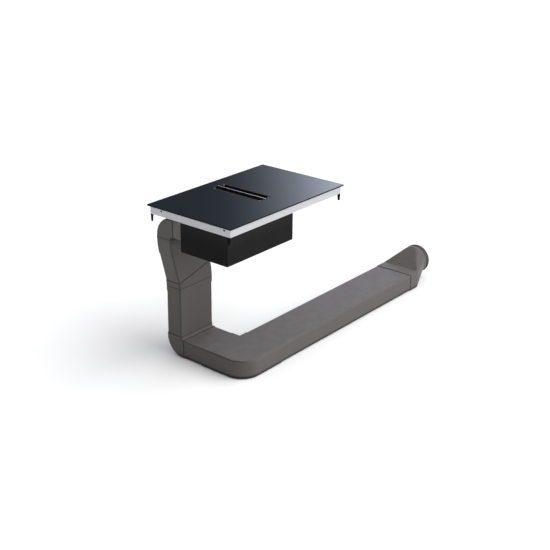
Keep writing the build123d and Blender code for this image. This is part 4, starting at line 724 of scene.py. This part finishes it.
class InsertOperator(bpy.types.Operator):
    """Finish the lift-out filter insert: bar, cage, filters and pan"""
    bl_idname = "vent.insert"
    bl_label = "Filter insert"

    def execute(self, context):
        colours = context.scene.vent_colours
        sizes = context.scene.vent_sizes
        low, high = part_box("handle_bar")
        bar = coated_bar(colours.bar, colours.bar_coat, (low.x + high.x) / 2, sizes.bar_strip)
        dress(bar, "handle_bar")
        cage = moulded("cage_moulding", "black_plastic", tinted(colours.frame, 0.8), sizes, mm(0.5),
                       rough=0.46, lift=2.2, gloss=0.20)
        dress(cage, "filter_cage", "drip_pan")
        rim = sheet_metal("filter_frame_steel", "filter_steel", colours.filter_rim)
        dress(rim, "filter_frame_left", "filter_frame_right")
        mesh = mesh_metal(colours.mesh, sizes.mesh_pitch)
        dress(mesh, "filter_mesh_left", "filter_mesh_right")
        return {"FINISHED"}


class HousingOperator(bpy.types.Operator):
    """Finish the fan housing in satin black, with painted light as a pale band up under the tray"""
    bl_idname = "vent.housing"
    bl_label = "Fan housing"

    def execute(self, context):
        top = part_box("steel_tray")[0].z
        # Painted light: the housing turns paler over the last 75 mm up under the tray.
        satin = moulded("housing_satin", "housing_plastic", context.scene.vent_colours.housing,
                        context.scene.vent_sizes, lift=2.2, gloss=0.05, pale_tone=(top - mm(75), top))
        dress(satin, "housing_pan", "housing_lid")
        return {"FINISHED"}


class FanOperator(bpy.types.Operator):
    """Finish the fan, its scroll, its motor and the flap"""
    bl_idname = "vent.fan"
    bl_label = "Fan and motor"

    def execute(self, context):
        colours = context.scene.vent_colours
        grey = moulded("fan_moulding", "grey_plastic", colours.fan, context.scene.vent_sizes,
                       rough=0.46)
        dress(grey, "fan_scroll", "inlet_ring", "impeller", "backdraft_flap")
        can = sheet_metal("motor_can", "motor_steel", colours.motor, "Z", rough=0.32)
        dress(can, "motor", "motor_plate")
        return {"FINISHED"}


class DuctOperator(bpy.types.Operator):
    """Finish the duct run from the spigot to the outlet"""
    bl_idname = "vent.duct"
    bl_label = "Duct run"

    def execute(self, context):
        colours = context.scene.vent_colours
        sizes = context.scene.vent_sizes
        wide_along = {
            "X": ("top_bend", "bend_connector", "upper_offset_elbow", "offset_duct",
                  "lower_offset_elbow", "riser_duct", "lower_bend", "side_duct"),
            "Y": ("long_duct", "outlet_adapter"),
            "Z": ("corner_bend",),
        }
        for across, nodes in wide_along.items():
            dress(duct_moulding(across, colours, sizes), *nodes)
        spigot = moulded("spigot_moulding", "black_plastic", tinted(colours.duct, 1.15), sizes)
        dress(spigot, "outlet_spigot")
        return {"FINISHED"}


class JointLipOperator(bpy.types.Operator):
    """Lay a rubber lip round the duct at each socket's mouth, and a bead over each butt seam"""
    bl_idname = "vent.joint_lips"
    bl_label = "Joint lips"

    def execute(self, context):
        finish = rubber("joint_rubber", "black_rubber", context.scene.vent_colours.rubber)
        wide = context.scene.vent_sizes.lip_width
        seat = mm(0.05)
        lip = [(seat, 0.0), (mm(2.3), 0.0), (mm(2.2), wide * 0.35), (mm(1.1), wide * 0.8),
               (mm(0.4), wide), (seat, wide)]
        mesh = bmesh.new()
        for place in (*straight_mouths(), *leaning_mouths()):
            ring_of(mesh, place, round_outline(*DUCT_SECTION), lip)
        for joint in (bend_joint(), elbow_joint()):
            place = standing(joint, (1, 0, 0), (0, 0, 1))
            ring_of(mesh, place, round_outline(*FITTING_SECTION), SEAM_BEAD)
        smooth_by_angle(new_piece("duct_joint_lips", mesh, finish), 50)
        return {"FINISHED"}


class OutletRingOperator(bpy.types.Operator):
    """Turn the outlet's seal ring with its lips"""
    bl_idname = "vent.outlet_ring"
    bl_label = "Outlet seal ring"

    def execute(self, context):
        finish = rubber("ring_rubber", "black_rubber", context.scene.vent_colours.rubber)
        low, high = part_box("outlet_seal_ring")
        outer = (high.z - low.z) / 2
        inner = outer - mm(1.4)
        groove = inner + mm(0.6)
        wide = high.x - low.x
        lips = context.scene.vent_sizes.ring_lips
        step = (wide - mm(5)) / lips
        profile = [(inner, 0.0), (inner + mm(0.7), 0.0)]
        for number in range(lips):
            start = mm(3) + number * step
            profile += [(groove, start), (outer - mm(0.1), start + step * 0.35),
                        (outer, start + step * 0.45), (groove, start + step * 0.55)]
        profile += [(groove, wide - mm(1.2)), (inner + mm(0.3), wide), (inner, wide)]
        middle = Vector((low.x, (low.y + high.y) / 2, (low.z + high.z) / 2))
        mesh = bmesh.new()
        lathe(mesh, standing(middle, (0, 1, 0), (1, 0, 0)), profile)
        piece = new_piece("outlet_ring_lipped", mesh, finish)
        smooth_by_angle(piece, 40)
        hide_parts("outlet_seal_ring")
        return {"FINISHED"}


class CoilOperator(bpy.types.Operator):
    """Wind the coils and finish their formers and plate"""
    bl_idname = "vent.coils"
    bl_label = "Coils"

    def execute(self, context):
        colours = context.scene.vent_colours
        sizes = context.scene.vent_sizes
        copper = wound_copper(colours.copper, sizes.wire)
        pale = moulded("coil_former_moulding", "light_plastic", colours.former, sizes,
                       rough=0.50, lift=1.15)
        aluminium = sheet_metal("plate_mill_finish", "plate_aluminium", colours.plate, "X")
        dress(aluminium, "coil_plate", "plate_pillars")
        dress(pale, "touch_carrier")
        for corner in ("front_left", "back_left", "front_right", "back_right"):
            dress(pale, f"coil_former_{corner}")
            self.wind(corner, copper, sizes)
        return {"FINISHED"}

    def wind(self, corner, copper, sizes):
        """One spiral of wire in the space of the coil's winding."""
        low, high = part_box(f"coil_winding_{corner}")
        middle = (low + high) / 2
        outer = (high.x - low.x) / 2 - sizes.wire / 2
        inner = COIL_EYE + sizes.wire / 2
        radius = min(sizes.wire, high.z - low.z) / 2
        round_wire = [math.tau * side / WIRE_SIDES for side in range(WIRE_SIDES)]
        steps = WIRE_STEPS * sizes.wire_turns
        mesh = bmesh.new()
        rows = []
        for step in range(steps + 1):
            share = step / steps
            turn = math.tau * sizes.wire_turns * share
            way = Vector((math.cos(turn), math.sin(turn), 0))
            centre = middle + way * (inner + (outer - inner) * share)
            rows.append([mesh.verts.new(centre + way * (radius * math.cos(angle_round)) +
                                        Vector((0, 0, radius * math.sin(angle_round))))
                         for angle_round in round_wire])
        skin(mesh, rows)
        mesh.faces.new(rows[0])
        mesh.faces.new(reversed(rows[-1]))
        piece = new_piece(f"coil_spiral_{corner}", mesh, copper)
        smooth_by_angle(piece, 60)
        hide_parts(f"coil_winding_{corner}")


class ElectronicsOperator(bpy.types.Operator):
    """Finish the boards, the heat sinks and the cooling fans"""
    bl_idname = "vent.electronics"
    bl_label = "Electronics"

    def execute(self, context):
        colours = context.scene.vent_colours
        sizes = context.scene.vent_sizes
        board_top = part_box("heat_sink_left")[0].z
        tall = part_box("power_board_left")[1].z
        dress(circuit(colours.board, board_top, tall), "power_board_left", "power_board_right")
        touch_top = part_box("touch_board")[0].z + BOARD_THICKNESS
        dress(circuit(colours.board, touch_top, touch_top + BOARD_THICKNESS), "touch_board")
        fins = sheet_metal("fin_aluminium", "plate_aluminium", colours.fins, rough=0.36)
        dress(fins, "heat_sink_left", "heat_sink_right")
        black = moulded("cooler_moulding", "black_plastic", tinted(colours.frame, 1.6), sizes,
                        lift=2.0)
        dress(black, "cooling_fan_frame_left", "cooling_fan_frame_right",
              "cooling_fan_rotor_left", "cooling_fan_rotor_right")
        return {"FINISHED"}


class ConnectionOperator(bpy.types.Operator):
    """Finish the connection box and its gland"""
    bl_idname = "vent.connection"
    bl_label = "Connection box"

    def execute(self, context):
        black = moulded("connection_moulding", "black_plastic",
                        tinted(context.scene.vent_colours.frame, 1.8), context.scene.vent_sizes,
                        rough=0.44, lift=1.9)
        dress(black, "terminal_box", "cable_gland")
        return {"FINISHED"}


class StudioOperator(bpy.types.Operator):
    """Set up the floor, the lights and the camera"""
    bl_idname = "vent.studio"
    bl_label = "Studio"

    def execute(self, context):
        studio = context.scene.vent_studio
        self.camera(context, studio)
        self.floor(context, studio)
        self.key(context, studio)
        self.surround(context, studio)
        context.scene.view_settings.view_transform = "Standard"
        return {"FINISHED"}

    def camera(self, context, studio):
        """A camera at the photograph's angle, with less shift than it was taken with."""
        data = bpy.data.cameras.new("photo_camera")
        data.lens = studio.lens
        data.sensor_width = SENSOR_WIDTH
        data.shift_x = studio.shift_x
        data.shift_y = studio.shift_y
        data.dof.use_dof = False
        camera = bpy.data.objects.new("photo_camera", data)
        context.scene.collection.objects.link(camera)
        ahead = Vector((math.sin(studio.heading) * math.cos(studio.tilt),
                        math.cos(studio.heading) * math.cos(studio.tilt), -math.sin(studio.tilt)))
        camera.location = studio.camera_place
        camera.rotation_euler = ahead.to_track_quat("-Z", "Y").to_euler()
        context.scene.camera = camera

    def floor(self, context, studio):
        """A pale floor, open from below so that what stands on it is lit and seen there too."""
        finish = Finish("studio_floor", None)
        tone = finish.noise(1.5, 2.0)
        shade = finish.between(tone, tinted(studio.floor, 0.985), tinted(studio.floor, 1.01))
        face = finish.shader(Base_Color=shade, Roughness=0.75, Specular_IOR_Level=0.2)
        clear = finish.node("ShaderNodeBsdfTransparent")
        below = finish.node("ShaderNodeNewGeometry", output="Backfacing")
        travelled = finish.node("ShaderNodeLightPath", output="Ray Length")
        opening = below.or_else(1.0 - travelled.above(FLOOR_CONTACT))
        finish.output(finish.node("ShaderNodeMixShader", None, {0: opening, 1: face, 2: clear}))
        mesh = bmesh.new()
        bmesh.ops.create_circle(mesh, cap_ends=True, segments=96, radius=FLOOR_RADIUS)
        data = bpy.data.meshes.new("studio_floor")
        mesh.to_mesh(data)
        mesh.free()
        data.materials.append(finish.material)
        floor = bpy.data.objects.new("studio_floor", data)
        floor.location.z = -FLOOR_DROP
        context.scene.collection.objects.link(floor)

    def key(self, context, studio):
        """One large soft light from the front right, high up."""
        data = bpy.data.lights.new("key_light", "SUN")
        data.energy = studio.key_power
        data.angle = studio.key_spread
        lamp = bpy.data.objects.new("key_light", data)
        lamp.rotation_euler = Vector(studio.key_way).to_track_quat("-Z", "Y").to_euler()
        lamp.location = LAMP_PLACE
        context.scene.collection.objects.link(lamp)

    def surround(self, context, studio):
        """Soft light from all round, darker ahead of the camera so that the glass stays deep. The
        heading is 0 straight back, 90 degrees to the right and -90 to the left."""
        world = bpy.data.worlds.new("studio_surround")
        world.use_nodes = True
        nodes = Nodes(world.node_tree)
        way = nodes.node("ShaderNodeTexCoord", output="Generated")
        east = nodes.part(way, "X")
        up = nodes.part(way, "Z")
        heading = east.maths("ARCTAN2", east, nodes.part(way, "Y"))

        def turning(low, high):
            """0 to 1 as the heading turns from one angle to another."""
            return heading.rise(math.radians(low), math.radians(high))

        right = turning(-25, 10)
        left = turning(-160, -120) - right
        ahead = right - turning(62, 95)
        tone = nodes.between(left, studio.front, studio.left)
        tone = nodes.between(ahead, tone, studio.ahead)
        tone = nodes.between(up.rise(0.35, 0.75), tone, studio.overhead)
        softbox = turning(45, 62)
        softbox = (softbox * softbox * studio.softbox_light).limited(studio.softbox_limit)
        softbox = softbox * (1.0 - turning(60, 80)) * (1.0 - up.rise(0.38, 0.50))
        glare = nodes.node("ShaderNodeVectorMath", {"operation": "SCALE"},
                           {0: tuple(studio.softbox), "Scale": softbox})
        tone = nodes.node("ShaderNodeVectorMath", {"operation": "ADD"}, {0: tone, 1: glare})
        seen = nodes.node("ShaderNodeLightPath", output="Is Camera Ray")
        glow = nodes.node("ShaderNodeBackground", None,
                          {"Color": nodes.between(seen, tone, studio.backdrop),
                           "Strength": studio.fill_light})
        nodes.node("ShaderNodeOutputWorld", None, {"Surface": glow})
        context.scene.world = world


# ---------------------------------------------------------------- the duct's joints
def straight_mouths():
    """Places at the mouths of the sockets that lie along X, Y or Z. Each lip's third axis points
    away from the socket, along the duct that comes out of it."""
    mouths = (
        ("outlet_spigot", (0, -1, 0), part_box("top_bend")[0].y),
        ("riser_duct", (0, 0, 1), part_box("lower_bend")[1].z),
        ("side_duct", (0, -1, 0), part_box("lower_bend")[0].y),
        ("side_duct", (0, 1, 0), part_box("corner_bend")[1].y),
        ("long_duct", (1, 0, 0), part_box("corner_bend")[1].x),
        ("long_duct", (-1, 0, 0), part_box("outlet_adapter")[0].x),
    )
    places = []
    for node, along, end in mouths:
        low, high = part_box(node)
        middle = (low + high) / 2
        middle[[abs(part) for part in along].index(1)] = end
        across = (0, 1, 0) if along[0] else (1, 0, 0)
        places.append(standing(middle, across, along))
    return places


def bend_joint():
    """Where the top bend meets the elbow under it."""
    low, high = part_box("bend_connector")
    return Vector(((low.x + high.x) / 2, (low.y + high.y) / 2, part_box("top_bend")[0].z))


def elbow_joint():
    """Where the lower elbow's straight socket begins, above the riser."""
    low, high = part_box("riser_duct")
    return Vector(((low.x + high.x) / 2, (low.y + high.y) / 2,
                   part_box("lower_offset_elbow")[0].z + ELBOW_SOCKET))


def leaning_mouths():
    """Places at the two mouths round the duct that leans, at the lower elbow and at the upper."""
    joint = bend_joint()
    foot = elbow_joint()
    lean = Vector((-math.sin(ELBOW_TURN), 0, math.cos(ELBOW_TURN)))
    across = Vector((math.cos(ELBOW_TURN), 0, math.sin(ELBOW_TURN)))
    rise = Vector((0, 0, ELBOW_RADIUS * math.sin(ELBOW_TURN)))
    shift = Vector((ELBOW_RADIUS * (1 - math.cos(ELBOW_TURN)), 0, 0))
    return [standing(foot + rise - shift, across, lean),
            standing(joint - rise + shift, across, -lean)]


PIECES = (GlassOperator, TrayOperator, SideNutOperator, InletOperator, InsertOperator,
          HousingOperator, FanOperator, DuctOperator, JointLipOperator, OutletRingOperator,
          CoilOperator, ElectronicsOperator, ConnectionOperator, StudioOperator)


class VentPanel(bpy.types.Panel):
    """Lists the vent's settings and the steps that dress it"""
    bl_idname = "VIEW3D_PT_vent"
    bl_label = "Downdraft vent"
    bl_space_type = "VIEW_3D"
    bl_region_type = "UI"
    bl_category = "Vent"

    def draw(self, context):
        scene = context.scene
        for group in (scene.vent_colours, scene.vent_sizes, scene.vent_studio):
            box = self.layout.box()
            for name in group.__annotations__:
                box.prop(group, name)
        for step in PIECES:
            self.layout.operator(step.bl_idname)


CLASSES = (VentColours, VentSizes, VentStudio, *PIECES, VentPanel)


def register():
    """Registers the classes and gives the scene its settings."""
    for made in CLASSES:
        bpy.utils.register_class(made)
    bpy.types.Scene.vent_colours = PointerProperty(type=VentColours)
    bpy.types.Scene.vent_sizes = PointerProperty(type=VentSizes)
    bpy.types.Scene.vent_studio = PointerProperty(type=VentStudio)


def unregister():
    """Takes the settings and the classes away again."""
    del bpy.types.Scene.vent_studio
    del bpy.types.Scene.vent_sizes
    del bpy.types.Scene.vent_colours
    for made in reversed(CLASSES):
        bpy.utils.unregister_class(made)


def main():
    register()
    for step in PIECES:
        group, name = step.bl_idname.split(".")
        getattr(getattr(bpy.ops, group), name)()


if __name__ == "__main__":
    main()
